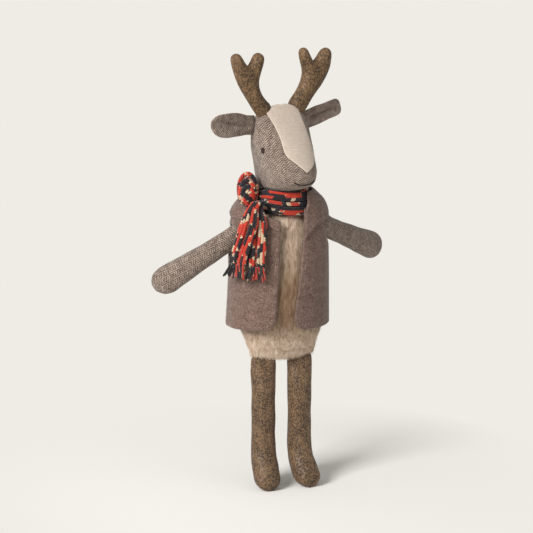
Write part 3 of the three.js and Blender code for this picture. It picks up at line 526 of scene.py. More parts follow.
def antler(name, side_name, inset, deep):
    """Two flat pieces sewn round the outline, with a puckered seam, and stuffed"""
    outline = rounded(antler_outlines[side_name])
    low, high = outline.min(axis=0) - 1, outline.max(axis=0) + 1
    xs, zs = (np.arange(low[k], high[k], antler_step) for k in range(2))
    x, z = (grid.ravel() for grid in np.meshgrid(xs, zs))
    points = np.stack([x, np.full(x.size, antler_back), z], 1)
    flat, faces, uvs, edge = clip(points, triangles_of(len(zs), len(xs), False),
                                  inside_outline(outline, x, z) - inset, points[:, [0, 2]])
    puff = deep * np.sqrt(np.clip(1 - (1 - np.clip(edge / (deep * 1.2), 0, 1)) ** 2.1, 0, 1)) + 0.1
    pucker = grain(flat[:, [0, 2, 1]] * (1, 1, 0), 2.4, (0, 0, inset + len(side_name)))
    puff = (puff + 0.4 * pucker * np.exp(-edge / 2.5))[:, None] * (0, 1, 0)
    piece = link(name, *two_skins(flat - puff, flat + puff, faces, uvs, uvs + 100), HEAD)
    soften = piece.modifiers.new("soften", "SMOOTH")
    soften.factor, soften.iterations = 0.5, 5
    return piece


antlers, antler_fillings = {}, {}
for side_name in SIDES.values():
    antlers[side_name] = antler(f"antler_{side_name}", side_name, 0, 6.8)
    antler_fillings[side_name] = antler(f"antler_{side_name}_fibre", side_name, 1.3, 5.4)

# Ears
ear_pieces = {}
for side, side_name in SIDES.items():
    up = radians(ear_lift[side])
    along = np.array([side * math.cos(up), 0, math.sin(up)])
    square = np.array([-side * math.sin(up), 0, math.cos(up)])
    rows = []
    for turn in (radians(-60), 0):
        rows.append(side_row((side * ear_root * math.sin(turn), 0, 0),
                             (0, 0, ear_shares[0][1] * ear_width * math.cos(turn / 3) / 2),
                             ear_root * math.cos(turn)))
    for out, wide in ear_shares:
        rows.append(side_row(along * out * ear_length, square * wide * ear_width / 2,
                             ear_half_thickness * min(1, wide)))
    grid = dense_grid(rows, 96, 0.7)
    off = grid @ square / (ear_width / 2)
    out = np.clip(grid @ along / ear_length, 0, 1)
    cup = np.minimum(1, 2 * out)
    # The edges roll forwards and leave a deep fold between them
    fold_line = 0.12 + 0.1 * out if side > 0 else 0.32 - 0.55 * (1 - out)
    fold = bump(off, fold_line, 0.16) * smoothstep(out, 0.06, 0.2) * (1 - smoothstep(out, 0.62, 0.85))
    grid[..., 1] += np.where(grid[..., 1] < 0, 2.2, 0.6) * fold - 3.4 * off**2 * cup
    grid[..., 2] += 0.5 * np.sin(out * 7 + side) * cup * np.abs(off)
    if side > 0:
        # The lower half of this ear is folded forwards and up
        under = np.minimum(off - 0.12, 0) * ear_width / 2
        lean = 0.08 + 0.46 * smoothstep(out, 0.1, 0.6) * (1 - 0.4 * smoothstep(out, 0.55, 1.05))
        grid += (lean * -under)[..., None] * square
        grid[..., 1] += lean * under * 0.25
    place = Matrix.Translation(Vector(hinge[f"ear_{side_name}_fold"]))
    place = place @ Matrix.Rotation(radians(head_turn + side * ear_sweep[side]), 4, "Z")
    ear_pieces[side_name] = loft(f"ear_{side_name}", grid, place)

# Eyes: satin stitches side by side, longest in the middle; and the mouth, one long stitch
eyes = {}
angle = np.linspace(-1.25, 1.25, 9)
for side, side_name in SIDES.items():
    eye = Parts()
    slant = np.array(Matrix.Rotation(-side * radians(17), 3, "Z")).T
    for i in range(9):
        share = (i - 4) / 4.5
        reach = math.sqrt(1 - share**2)
        path = np.stack([side * (1.35 * reach * np.cos(angle) - 0.6), share * 2.1 + 0 * angle,
                         2.8 * reach * np.sin(angle)], 1)
        eye.add(*tube_parts(path @ slant + head_point(side * 73, 44), 0.42, uv=(0, i * 3.1)))
    eyes[side_name] = eye.link(f"eye_{side_name}", HEAD)
mouth = Parts()
mouth.add(*tube_parts([head_point(24 * s, 17.4 + 3 * s * s, 0.5) for s in np.linspace(-1, 1, 41)], 0.6, 8))
mouth = mouth.link("mouth_thread", HEAD)

# Vest
vest_levels = [vest_base + up * vest_height for up, *_ in vest_shares]
vest_halves = [(wide * vest_half_width, deep * vest_half_depth) for _, wide, deep in vest_shares]


def round_skin(half, shift, z, columns, radius):
    """A grid of points round the body at levels z, and its uvs as if it had that radius"""
    angle = np.arange(columns) / columns * TAU
    x, y = half[:, :1] * np.cos(angle) - shift, half[:, 1:] * np.sin(angle)
    uvs = np.stack([np.tile(angle, len(z)) * radius, np.repeat(z, columns)], 1)
    return np.stack([x, y, np.repeat(z[:, None], columns, 1)], 2), uvs


def edge_reach(side, level):
    """How far from the middle the cut front edge is at a level, above the hem's round corner"""
    top, low = openings[side]
    round_level = vest_base + hem_corner
    return low + (top - low) * np.clip((level - round_level) / (vest_top - round_level), 0, 1)


def opening_edge(p, side):
    """Distance inside the cut front edge and its round corner at the hem, in the front view"""
    out, drop = side * p[:, 0] - openings[side][1] - hem_corner, p[:, 2] - vest_base - hem_corner
    straight = side * p[:, 0] - edge_reach(side, p[:, 2])
    return np.where((drop < 0) & (out < 0), hem_corner - np.hypot(out, drop), straight)


def armhole_level(side):
    """Where the drooping arm passes through the vest's side"""
    wall = vest_half_width - side * vest_shift
    return shoulder[side] - max(0, wall - shoulder_reach) * math.tan(radians(arm_droop[side]))


def armhole_edge(p, side):
    ring = np.hypot(p[:, 1] / (armhole_depth / 2), (p[:, 2] - armhole_level(side)) / (armhole_height / 2))
    return np.where(side * p[:, 0] > 0, (ring - 1) * armhole_height / 2, 99)


def under_scarf(p):
    """On the left front the scarf lies over the felt, which stays below it"""
    x = np.minimum(p[:, 0], -8)
    limit = scarf_bottom - 3 + (-8 - x) * 0.35 + np.maximum(-33 - x, 0) * 4
    return np.where((p[:, 0] < 0) & (p[:, 1] < 0), limit - p[:, 2], 99)


z = np.arange(vest_base - 1, vest_levels[-1] + 0.45, 0.9)
vest_grid, vest_uv = round_skin(half_at(vest_levels, vest_halves, z), vest_shift, z, 300, 38)
vest_points = vest_grid.reshape(-1, 3)
# The left side flares out towards the hem
flare = np.clip((vest_base + 50 - vest_points[:, 2]) / 50, 0, 1) ** 1.5
vest_points[:, 0] -= 2.4 * flare * np.clip(-vest_points[:, 0] / 44, 0, 1) ** 2
x, y, z = vest_points.T
vest_common = np.minimum.reduce([
    z - vest_base, armhole_edge(vest_points, -1), armhole_edge(vest_points, 1), under_scarf(vest_points),
    np.where(z > scarf_bottom - 8, np.hypot(x, y) - vest_neck, 99),
]) + 0.35 * grain(vest_points, 7, (1, 0, 0))
vest_fields = {}
for side, side_name in SIDES.items():
    past = 0.2 - 8 * (side < 0)
    front = np.minimum(-y - 0.2, opening_edge(vest_points, side))
    vest_fields[f"vest_front_{side_name}"] = np.where(side * x > past, front, -1)
vest_fields["vest_back"] = y - 0.2
vest_pieces = {
    name: felt(name, vest_grid, np.minimum(field, vest_common), vest_uv, vest_thickness, -vest_thickness)
    for name, field in vest_fields.items()
}

# Collar and lapels
collar_levels = [scarf_bottom + up * collar_height for up, *_ in collar_shares]
collar_halves = [(wide * collar_width / 2, deep * collar_depth / 2) for _, wide, deep in collar_shares]
z = np.arange(scarf_bottom - 23, collar_levels[-1] + 0.01, 0.8)
over_vest = half_at(vest_levels, vest_halves, z) + 0.35
collar_half = half_at(collar_levels, collar_halves, z) - lapel_thickness
rise = smoothstep(z, scarf_bottom - 7, scarf_bottom + 5)[:, None]
inner_half = np.maximum(over_vest, over_vest + (collar_half - over_vest) * rise)
shift = vest_shift * (1 - smoothstep(z, scarf_bottom - 4, collar_levels[-1]))
collar_grid, collar_uv = round_skin(inner_half, shift[:, None], z, 320, 34)
collar_points = collar_grid.reshape(-1, 3)
x, y, z = collar_points.T
field = np.where(y > 0, z - scarf_bottom, -9.0)
for side, edge in lapels.items():
    outline = [(reach, scarf_bottom - drop) for reach, drop in edge]
    outline += [(60, scarf_bottom - 0.01), (60, body_top + 40), (0, body_top + 40)]
    lapel = np.minimum(inside_outline(outline, side * x, z), opening_edge(collar_points, side))
    field = np.where((y <= 0) & (side * x > 0), lapel, field)


def keep_off(points, node, gap):
    """Signed distance of points in the figure's millimetres to a CAD node, less a gap"""
    tree = BVHTree.FromObject(frame["nodes"][node], bpy.context.evaluated_depsgraph_get())
    out = np.empty(len(points))
    for i, p in enumerate(points):
        world = (FIGURE @ Vector(p)) * MM
        hit, normal, _, distance = tree.find_nearest(world)
        out[i] = math.copysign(distance / MM, (world - hit).dot(normal)) - gap
    return out


field = np.minimum.reduce([
    field, under_scarf(collar_points), collar_levels[-1] - z, np.hypot(x, y) - collar_neck,
    armhole_edge(collar_points, -1), armhole_edge(collar_points, 1), keep_off(collar_points, "scarf_knot", clearance),
])
vest_pieces["vest_collar"] = felt("vest_collar", collar_grid, field, collar_uv, vest_thickness, 0.0)


def rope(parts, path, radius, twist, lane, up=(0.0, 0.0, 1.0), step=0.45, sides=6, closed=False, turn=1):
    """Two strands twisted about a path; lane sets where the colours start"""
    path, at = resample(path, step)
    side, other = frames_along(path, up)
    turns = max(1, round(at[-1] / twist)) if closed else at[-1] / twist
    phase = at / at[-1] * turns * TAU * turn
    for ply in (0, math.pi):
        strand = path + (np.cos(phase + ply)[:, None] * side + np.sin(phase + ply)[:, None] * other) * (radius * 0.5)
        parts.add(*tube_parts(strand, radius * 0.56, sides, (ply * 0.6, lane), not closed, path))


def way_of(i):
    """The ropes of a knit are twisted one way and the other by turns"""
    return 1 if i % 2 else -1


# Scarf: a band of ropes round a plain core
band = Parts()
band_radius, rope_radius = (scarf_width - scarf_thickness) / 2, 1.6
angle = np.linspace(0, TAU, 361)
from_knot = (angle - radians(270 - knot_turn) + math.pi) % TAU - math.pi
for i in range(band_ropes):
    u, v = oval(i / band_ropes * TAU, scarf_power)
    out, high = u * (scarf_thickness / 2 - rope_radius * 0.8), v * (scarf_height / 2 - rope_radius)
    # Drawn together at the knot, and higher beside it
    tilt = 0.5 * np.sin(angle + 0.6) - high * 0.3 * bump(from_knot, 0, 0.5)
    tilt += bump(from_knot, 0.35, 0.8) * (3.4 if out > 0 else 1)
    path = np.stack([(band_radius + out) * np.cos(angle), (band_radius + out) * np.sin(angle),
                     scarf_level + high + tilt], 1)
    rope(band, path, rope_radius, 3.7, i * lane_step, closed=True, turn=way_of(i))
round_count, section_count = 120, 24
angle = np.arange(round_count) / round_count * TAU
u, v = oval(np.arange(section_count) / section_count * TAU, scarf_power)
radius = band_radius + u * (scarf_thickness / 2 - rope_radius)
level = scarf_level + v * (scarf_height / 2 - rope_radius)
core = np.stack([np.outer(np.cos(angle), radius), np.outer(np.sin(angle), radius), np.tile(level, (round_count, 1))], 2)
core_faces = [[q % round_count * section_count + j % section_count
               for q, j in ((r, i), (r, i + 1), (r + 1, i + 1), (r + 1, i))]
              for r in range(round_count) for i in range(section_count)]
scarf_pieces = {
    "scarf_band": band.link("scarf_band"),
    "scarf_band_core": link("scarf_band_core", core.reshape(-1, 3), core_faces, np.zeros((len(core_faces) * 4, 2))),
}

# Knot: the band's end wraps over and under itself
turn, face_turn = radians(knot_turn), radians(26)
out_way = np.array([-math.sin(turn), -math.cos(turn), 0])
across_way = np.array([-out_way[1], out_way[0], 0])
knot_centre = out_way * (scarf_width / 2 + knot_bulge) + (0, 0, scarf_level + knot_rise)
front_way = np.array([-math.sin(face_turn), -math.cos(face_turn), 0])
beside_way = np.array([-front_way[1], front_way[0], 0])
knot = Parts()
t = np.linspace(0, TAU, 121)
for i in range(knot_ropes):
    # Loops that all meet at the lower inner corner, on the near and the far half
    near = i < knot_ropes / 2
    size = 1 - (i % (knot_ropes // 2)) * 0.185
    across_share = 0.42 + size * (-0.42 + np.cos(t))
    rise_share = -0.88 + size * (0.88 + np.sin(t))
    long = np.maximum(1, np.hypot(across_share, rise_share))
    across_share, rise_share = across_share / long, rise_share / long
    depth_share = np.sqrt(np.maximum(0, 1 - across_share**2 - rise_share**2)) * (1 if near else -1)
    loop = (
        knot_centre + (0, 0, 1.6) - beside_way * 0.8
        + np.outer(across_share * (knot_width / 2 - 1.2), beside_way)
        + np.outer(rise_share * (knot_height / 2 - 0.8), (0, 0, 1))
        + np.outer(depth_share * (knot_depth / 2 - 0.8), front_way)
    )
    rope(knot, loop, 2.0, 3.9, 700 + i * lane_step, up=front_way, closed=True, turn=way_of(i))
scarf_pieces["scarf_knot"] = knot.link("scarf_knot")
rows = []
for s in np.linspace(-0.97, 0.97, 13):
    reach = math.sqrt(1 - s * s)
    depth = out_way * reach * (knot_depth / 2 - 1.6)
    rows.append(row(knot_centre + (0, 0, s * (knot_height / 2 - 1.4)), across_way * reach * (knot_width / 2 - 1.6),
                    -depth, depth))
scarf_pieces["scarf_knot_core"] = loft("scarf_knot_core", dense_grid(rows, 40, 1.2))

# Tails
tail_top = scarf_level + 4
lapel_stand = clearance + lapel_thickness + clearance
tail_count = 60


def tail_places(turn, drift, length, lift):
    """Centre, normal and tangent of a tail's sections, from the knot down over the vest"""
    places = []
    for share in np.linspace(0, 1, tail_count):
        angle = radians(turn + drift * share)
        level = tail_top - share * length
        wide, deep = np.maximum(half_at(vest_levels, vest_halves, level)[0] + lapel_stand, scarf_width / 2 + 0.3)
        flat = np.array([-wide * math.sin(angle) - vest_shift, -deep * math.cos(angle), level])
        normal = unit(np.array([-math.sin(angle) / wide, -math.cos(angle) / deep, 0]))
        fold = 1.1 * share * (1 + math.sin(share * math.pi * 3))
        places.append((flat + normal * (tail_thickness / 2 + lift + fold), normal,
                       np.array([-normal[1], normal[0], 0])))
    return places


for name, turn, drift, length, lift, first in (
    ("inner", 34, 3, 52, 0, 1400), ("outer", 37, 18, 50, tail_thickness + clearance, 2140),
):
    # Both tails are drawn in under the knot
    down = np.linspace(0, 1, tail_count)
    draw = 3.2 * (1 - smoothstep(down, 0, 0.35))
    places = [(c - tg * d, n, tg) for (c, n, tg), d in zip(tail_places(turn, drift, length, lift), draw)]
    widths = tail_width / 2 * (0.52 + 0.48 * smoothstep(down, 0, 0.38))
    tail = Parts()
    for i in range(tail_ropes):
        u, v = oval(i / tail_ropes * TAU, scarf_power)
        v *= tail_thickness / 2 - 0.9
        path = np.array([c + tg * u * (w - 1.3) + n * v for (c, n, tg), w in zip(places, widths)])
        rope(tail, path, 1.45, 3.6, first + i * lane_step, up=places[tail_count // 2][1], turn=way_of(i))
    scarf_pieces[f"scarf_tail_{name}"] = tail.link(f"scarf_tail_{name}")
    half = tail_thickness / 2 - 1.2
    rows = [row(c, tg * (w - 1.6), n * half, -n * half) for (c, n, tg), w in zip(places[1:-1], widths[1:-1])]
    scarf_pieces[f"scarf_tail_{name}_core"] = loft(f"scarf_tail_{name}_core", dense_grid(rows, 24, 1.5))
    end, normal, tangent = places[-1]
    fringe = Parts()
    half_count = fringe_strands // 2
    for i in range(fringe_strands):
        share = (i % half_count + 0.5) / half_count * 2 - 1
        face = -1 if i < half_count else 1
        start = end + tangent * share * (tail_width / 2 - 1.2) + normal * face * 0.9
        t = np.linspace(0, 1, 16)
        sway = rng.uniform(-1.4, 1.4)
        path = start + np.outer(t * 13.0 * rng.uniform(0.82, 1.0), (0, 0, -1.0))
        splay = 2.4 if name == "inner" else 4.2 - 2.6 * share
        path += np.outer(t**1.5 * (share * splay + sway), tangent)
        path += np.outer(np.sin(t * 3) * rng.uniform(-0.7, 0.9), normal)
        rope(fringe, path, rng.uniform(0.7, 1.05), 2.4, 2600 + i * lane_step, up=normal, step=0.5, sides=5)
    scarf_pieces[f"scarf_fringe_{name}"] = fringe.link(f"scarf_fringe_{name}")


def stuffing(name):
    """Lumps of fibre that follow a CAD solid"""
    piece = bpy.data.objects.new(f"{name}_fibre", frame["nodes"][name].data.copy())
    bpy.context.scene.collection.objects.link(piece)
    remesh = piece.modifiers.new("even", "REMESH")
    remesh.mode, remesh.voxel_size, remesh.use_smooth_shade = "VOXEL", 0.0016, True
    return piece


stuffings = {name: stuffing(name) for name in frame["nodes"] if name.endswith("_stuffing") and "antler" not in name}
stuffings.update({f"antler_{side_name}_stuffing": piece for side_name, piece in antler_fillings.items()})


def srgb(r, g, b):
    return tuple(((v / 255 + 0.055) / 1.055) ** 2.4 if v > 10 else v / 3294.6 for v in (r, g, b)) + (1,)


def linear(colour):
    """Three numbers are a colour as it is seen, from 0 to 255"""
    return srgb(*colour) if isinstance(colour, tuple) and len(colour) == 3 else colour


class Value:
    """A node's output, from which + - * / make math nodes"""

    def __init__(self, nodes, socket):
        self.nodes, self.socket = nodes, socket

    def __add__(self, other):
        return self.nodes.math("ADD", self, other)

    def __sub__(self, other):
        return self.nodes.math("SUBTRACT", self, other)

    def __mul__(self, other):
        return self.nodes.math("MULTIPLY", self, other)

    def __truediv__(self, other):
        return self.nodes.math("DIVIDE", self, other)


class Nodes:
    """A shader's node tree; most methods add nodes and return an output"""

    def __init__(self, owner):
        owner.use_nodes = True
        self.tree = owner.node_tree

    def put(self, socket, value):
        if isinstance(value, Value):
            self.tree.links.new(value.socket, socket)
        else:
            socket.default_value = value

    def add(self, kind, output, values, **settings):
        node = self.tree.nodes.new(kind)
        for key, value in settings.items():
            setattr(node, key, value)
        for key, value in values.items():
            self.put(node.inputs[key], value)
        return Value(self, node.outputs[output])

    def math(self, operation, a, b=0.0, clamp=False):
        return self.add("ShaderNodeMath", 0, {0: a, 1: b}, operation=operation, use_clamp=clamp)

    def place(self, x=1.0, y=1.0, z=1.0):
        """Place on the model, in millimetres over x, y and z"""
        at = self.add("ShaderNodeTexCoord", "Object", {})
        return self.add("ShaderNodeMapping", 0, {"Vector": at, "Scale": (1000 / x, 1000 / y, 1000 / z)})

    def cloth(self, x=1.0, y=1.0):
        """Place on the cloth, in millimetres over x and y"""
        at = self.add("ShaderNodeUVMap", 0, {}, uv_map="cloth")
        return self.add("ShaderNodeMapping", 0, {"Vector": at, "Scale": (1 / x, 1 / y, 1)})

    def noise(self, at, detail, roughness=0.5, distortion=0.0, scale=1.0):
        return self.add("ShaderNodeTexNoise", 0, {
            "Vector": at, "Scale": scale, "Detail": detail, "Roughness": roughness, "Distortion": distortion})

    def clouds(self, size, *detail):
        """Noise in the model's own space, whose size is one number of millimetres or three"""
        return self.noise(self.place(*(size if isinstance(size, tuple) else (size,) * 3)), *detail)

    def ramp(self, factor, *stops, constant=False):
        node = self.tree.nodes.new("ShaderNodeValToRGB")
        node.color_ramp.interpolation = "CONSTANT" if constant else "LINEAR"
        elements = node.color_ramp.elements
        while len(elements) < len(stops):
            elements.new(0.5)
        for element, (at, colour) in zip(elements, stops):
            element.position = at
            element.color = linear(colour) if isinstance(colour, tuple) else (colour,) * 3 + (1,)
        self.put(node.inputs[0], factor)
        return Value(self, node.outputs[0])

    def mix(self, factor, a, b, blend="MIX"):
        return self.add("ShaderNodeMix", 2, {0: factor, 6: linear(a), 7: linear(b)}, data_type="RGBA", blend_type=blend)

    def split(self, vector):
        return [self.add("ShaderNodeSeparateXYZ", i, {0: vector}) for i in range(3)]

    def join(self, x, y):
        return self.add("ShaderNodeCombineXYZ", 0, {0: x, 1: y})

    def waves(self, value):
        """A smooth wave from 0 to 1 for each whole step of the value"""
        return self.math("SINE", value * TAU) * 0.5 + 0.5

    def show_plain(self, output, own, plain, share=None):
        """Shows plain in place of own, also in mirrors and glass, where share is 1"""
        seen = self.add("ShaderNodeLightPath", "Is Camera Ray", {})
        for ray in ("Is Glossy Ray", "Is Transmission Ray"):
            seen = self.math("MAXIMUM", seen, self.add("ShaderNodeLightPath", ray, {}))
        blend = self.add("ShaderNodeMixShader", 0, {0: share * seen if share else seen, 1: own, 2: plain})
        self.put(self.tree.nodes[output].inputs["Surface"], blend)


class Material(Nodes):
    """A procedural material"""

    def __init__(self, name, roughness, sheen=0.0, sheen_roughness=0.5, specular=0.3):
        self.block = bpy.data.materials.new(name)
        super().__init__(self.block)
        self.shader = self.tree.nodes["Principled BSDF"]
        self.reliefs = {}
        for socket, value in (("Roughness", roughness), ("Sheen Weight", sheen), ("Sheen Roughness", sheen_roughness),
                              ("Specular IOR Level", specular)):
            self.shader.inputs[socket].default_value = value

    def colour(self, value):
        self.put(self.shader.inputs["Base Color"], linear(value))

    def roughness(self, value, low, high, span=(0.3, 0.7)):
        self.put(self.shader.inputs["Roughness"], self.ramp(value, (span[0], low), (span[1], high)))

    def relief(self, height, distance):
        """Bump of that many millimetres, on top of the last one"""
        normal = self.add("ShaderNodeBump", 0, {
            "Height": height, "Distance": distance * MM, "Strength": 1.0, **self.reliefs})
        self.put(self.shader.inputs["Normal"], normal)
        self.reliefs = {"Normal": normal}


def twill_material():
    """Brushed herringbone of pale and dark brown-grey yarns"""
    m = Material("twill", 0.92, 0.2, 0.45)
    u, v, _ = m.split(m.cloth())
    v = v + m.clouds(9, 2.0) * 0.9
    # The slope of the ribs turns over in every band
    ribs = m.waves((v + m.math("PINGPONG", u, 2.8) * 0.85) / 1.8)
    yarns = m.waves((u + v * 0.12) / 0.75)
    weave = ribs * 0.85 + yarns * 0.15
    slubs = m.noise(m.cloth(1.8, 1.8), 3.0, 0.6)
    light = weave * 0.52 + slubs * 0.48 + (m.clouds(3.2, 2.0) - 0.5) * 0.5
    yarn = m.ramp(light, (0.2, (54, 43, 37)), (0.42, (98, 82, 72)), (0.58, (142, 125, 113)), (0.8, (182, 165, 151)))
    shade = m.math("SUBTRACT", m.clouds(8, 3.0, 0.6), 0.4, True)
    m.colour(m.mix(shade, yarn, (150, 132, 120), "MULTIPLY"))
    m.roughness(weave, 0.97, 0.84, (0.0, 1.0))
    m.relief(weave, 0.3)
    m.relief(m.clouds(1.3, 3.0, 0.7), 0.45)
    return m.block


def linen_material():
    """Fine pale plain weave with slubs, pinkish cream"""
    m = Material("linen", 0.9, 0.2, 0.5)
    u, v, _ = m.split(m.cloth())
    weave = (m.waves(u / 0.62) + m.waves(v / 0.62)) * 0.5
    slubs = (m.noise(m.cloth(7.0, 0.6), 3.0, 0.6) + m.noise(m.cloth(0.6, 7.0), 3.0, 0.6)) * 0.5
    light = weave * 0.3 + slubs * 0.7
    thread = m.ramp(light, (0.3, (156, 140, 126)), (0.5, (190, 175, 160)), (0.72, (218, 205, 191)))
    m.colour(m.mix(m.clouds(13, 2.0) * 0.22, thread, (204, 180, 163)))
    m.roughness(slubs, 0.95, 0.84)
    m.relief(weave + slubs * 1.2, 0.16)
    return m.block


def speckled_material(name, base, fleck, fleck_size, roughness, sheen, seed):
    """Soft brown cloth, printed with dark flecks, slightly shiny on the high parts"""
    m = Material(name, roughness, sheen, 0.35, 0.35)
    at = m.place(fleck_size, fleck_size, fleck_size * 1.15)
    drift = m.noise(at, 2.0, scale=0.7)
    moved = m.add("ShaderNodeVectorMath", 0, {0: at, 1: (seed, 0.0, seed)}, operation="ADD")
    spots = m.add("ShaderNodeTexVoronoi", "Distance", {"Vector": moved, "Scale": 1.0}) + (drift - 0.5) * 0.45
    # Painted highlight: paler patches of noise over the base, with fewer flecks on them, stand in for the satin shine
    tone = m.clouds((7, 7, 12), 3.0, 0.6)
    pale = tuple(min(1, c * 1.35) for c in srgb(*base)[:3]) + (1,)
    painted_highlight = m.mix(m.ramp(tone, (0.42, 0.0), (0.62, 1.0)), base, pale)
    cover = m.ramp(spots, (0.43, 0.85), (0.62, 0.0)) * m.ramp(tone, (0.4, 1.0), (0.66, 0.55))
    m.colour(m.mix(cover, painted_highlight, fleck))
    m.roughness(spots, roughness + 0.12, roughness - 0.12)
    m.relief(spots, 0.14)
    m.relief(m.clouds((1.1, 1.1, 1.4), 3.0, 0.6), 0.3)
    return m.block


def felt_material():
    """Heather wool felt: brown, grey and pale fibres pressed together"""
    m = Material("felt", 0.97, 0.4, 0.4, 0.2)
    heather = (m.clouds((1.8, 1.8, 0.45), 4.0, 0.7, 1.2) + m.clouds((0.5, 0.5, 1.6), 4.0, 0.7, 1.0)) * 0.5
    patch = m.clouds((7, 7, 5), 4.0, 0.6)
    light = heather * 0.88 + patch * 0.12
    m.colour(m.ramp(light, (0.36, (42, 30, 27)), (0.46, (93, 73, 64)), (0.54, (121, 98, 88)), (0.64, (182, 160, 147))))
    m.roughness(heather, 1.0, 0.9)
    m.relief(patch, 0.25)
    m.relief(m.clouds(0.9, 4.0, 0.7, 0.8), 0.5)
    return m.block


def pile_material(name, tip):
    """Short cream pile with honey shadows"""
    m = Material(name, 0.85, 0.3, 0.4, 0.35)
    streaks = m.clouds((2, 2, 9), 4.0, 0.6, 0.6)
    light = streaks * 0.8 + m.clouds((11, 11, 16), 3.0) * 0.2
    hair = m.ramp(light, (0.36, (170, 143, 117)), (0.48, (210, 186, 162)), (0.6, (234, 216, 196)))
    # Painted shade: darker over the band of heights where the vest's panels shade the pile
    _, _, level = m.split(m.place())
    painted_vest_shade = m.ramp(level / 400.0, (0.32, 0.0), (0.37, 1.0), (0.45, 1.0), (0.55, 0.0))
    hair = m.mix(painted_vest_shade, hair, (184, 168, 152), "MULTIPLY")
    if tip:
        _, v, _ = m.split(m.cloth())
        m.colour(m.mix(m.ramp(v, (0.0, 0.5), (0.5, 0.0)), hair, (176, 142, 108)))
    else:
        m.colour(m.mix(0.35, hair, (168, 136, 104)))
    m.roughness(streaks, 0.92, 0.7)
    m.relief(streaks, 0.5)
    return m.block


def knit_material():
    """Space-dyed yarn: runs of coral, cream and charcoal along every rope"""
    m = Material("striped_knit", 0.93, 0.35, 0.4, 0.25)
    u, v, _ = m.split(m.cloth())
    lane = m.math("FLOOR", v)
    start = m.add("ShaderNodeTexWhiteNoise", "Value", {"W": lane}, noise_dimensions="1D")
    dash = m.math("FLOOR", u / 14.0 + start * 7.0)
    pick = m.add("ShaderNodeTexWhiteNoise", "Value", {"Vector": m.join(dash, lane)}, noise_dimensions="2D")
    zone = (m.noise(m.join(u / 25.0, lane * (0.55 / lane_step)), 0.0) - 0.5) * 2.3
    dye = pick * 0.42 + (zone + 0.29)
    yarn = m.ramp(dye, (0.0, (213, 66, 45)), (0.37, (220, 196, 162)), (0.47, (44, 39, 43)), constant=True)
    fluff = m.clouds(0.8, 3.0, 0.7)
    shade = m.ramp(fluff, (0.3, (190, 182, 178)), (0.6, 1.0))
    # Painted shade: darker in the grooves between the twisted plies, where points lie near each rope's axis
    groove_shade = m.ramp(m.math("FRACT", v), (0.42, (50, 38, 38)), (0.92, 1.0))
    m.colour(m.mix(1.0, m.mix(1.0, yarn, shade, "MULTIPLY"), groove_shade, "MULTIPLY"))
    m.roughness(fluff, 1.0, 0.86)
    m.relief(fluff, 0.3)
    return m.block


def yarn_material(name, dark, light):
    m = Material(name, 0.9, 0.35, 0.4, 0.25)
    fluff = m.clouds((0.7, 0.7, 1.4), 3.0, 0.7)
    m.colour(m.ramp(fluff, (0.32, dark), (0.62, light)))
    m.roughness(fluff, 0.98, 0.84)
    m.relief(fluff, 0.3)
    return m.block


def fibre_material():
    m = Material("fibre", 0.95, 0.5, 0.5, 0.2)
    clumps = m.clouds(3, 5.0, 0.65, 1.2)
    m.colour(m.ramp(clumps, (0.3, (214, 209, 198)), (0.6, (243, 240, 233))))
    m.roughness(clumps, 1.0, 0.9)
    m.relief(clumps, 1.2)
    return m.block


MATERIALS = {
    "grey_twill": twill_material(), "cream_linen": linen_material(), "grey_felt": felt_material(),
    "stuffing": fibre_material(), "cream_fur": pile_material("pile_ground", False), "striped_knit": knit_material(),
    "brown_speckle": speckled_material("speckled_cloth", (104, 81, 58), (42, 30, 21), 1.3, 0.6, 0.1, 3.0),
    "brown_suede": speckled_material("speckled_suede", (101, 77, 51), (42, 29, 19), 1.35, 0.66, 0.08, 11.0),
    "brown_thread": yarn_material("brown_thread", (24, 15, 12), (60, 42, 33)),
}
hair_material = pile_material("pile_hair", True)
pale_thread = yarn_material("pale_thread", (138, 116, 104), (178, 158, 144))


def finish_piece(piece, body, slot, *nodes, material=None):
    piece.data.materials.clear()
    piece.data.materials.append(material or MATERIALS[slot])
    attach(piece, body)
    if nodes:
        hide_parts(*nodes)


finish_piece(body, "torso", "cream_fur", "body_cover")
for side in SIDES.values():
    finish_piece(legs[side], f"leg_{side}", "brown_speckle", f"leg_{side}_cover")
    finish_piece(arms[side], f"arm_{side}", "grey_twill", f"arm_{side}_cover")
    finish_piece(antlers[side], "head", "brown_suede", f"antler_{side}_cover")
    finish_piece(ear_pieces[side], f"ear_{side}", "grey_twill", f"ear_{side}")
    finish_piece(eyes[side], "head", "brown_thread", f"eye_{side}")
finish_piece(mouth, "head", "brown_thread", "mouth_stitch")
finish_piece(head, "head", "grey_twill", "head_cover")
finish_piece(blaze, "head", "cream_linen", "forehead_blaze")
for name, piece in vest_pieces.items():
    finish_piece(piece, "torso", "grey_felt", name)
for name, piece in scarf_pieces.items():
    finish_piece(piece, "torso", "striped_knit", *([name] if name in frame["nodes"] else []))
fibre_body = {"body": "torso", "head": "head", "antler_left": "head", "antler_right": "head"}
for name, piece in stuffings.items():
    part = name.removesuffix("_stuffing")
    finish_piece(piece, fibre_body.get(part, part), "stuffing", name)


def cloth_sheet(piece, rests_on):
    """Makes a list of what the piece rests on, and does nothing more"""
    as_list(rests_on)


cloth_sheet(vest_pieces["vest_back"], [body])
cloth_sheet(vest_pieces["vest_front_left"], [body])
cloth_sheet(vest_pieces["vest_front_right"], [body])
cloth_sheet(vest_pieces["vest_collar"], list(vest_pieces.values())[:3])
cloth_sheet(blaze, [head])
cloth_sheet(scarf_pieces["scarf_band_core"], [body])
for name in ("inner", "outer"):
    cloth_sheet(scarf_pieces[f"scarf_tail_{name}_core"], [scarf_pieces["scarf_knot"]])


def triples(items, key, kind=float):
    """One value of three numbers for each item"""
    values = np.empty(len(items) * 3, kind)
    items.foreach_get(key, values)
    return values.reshape(-1, 3)


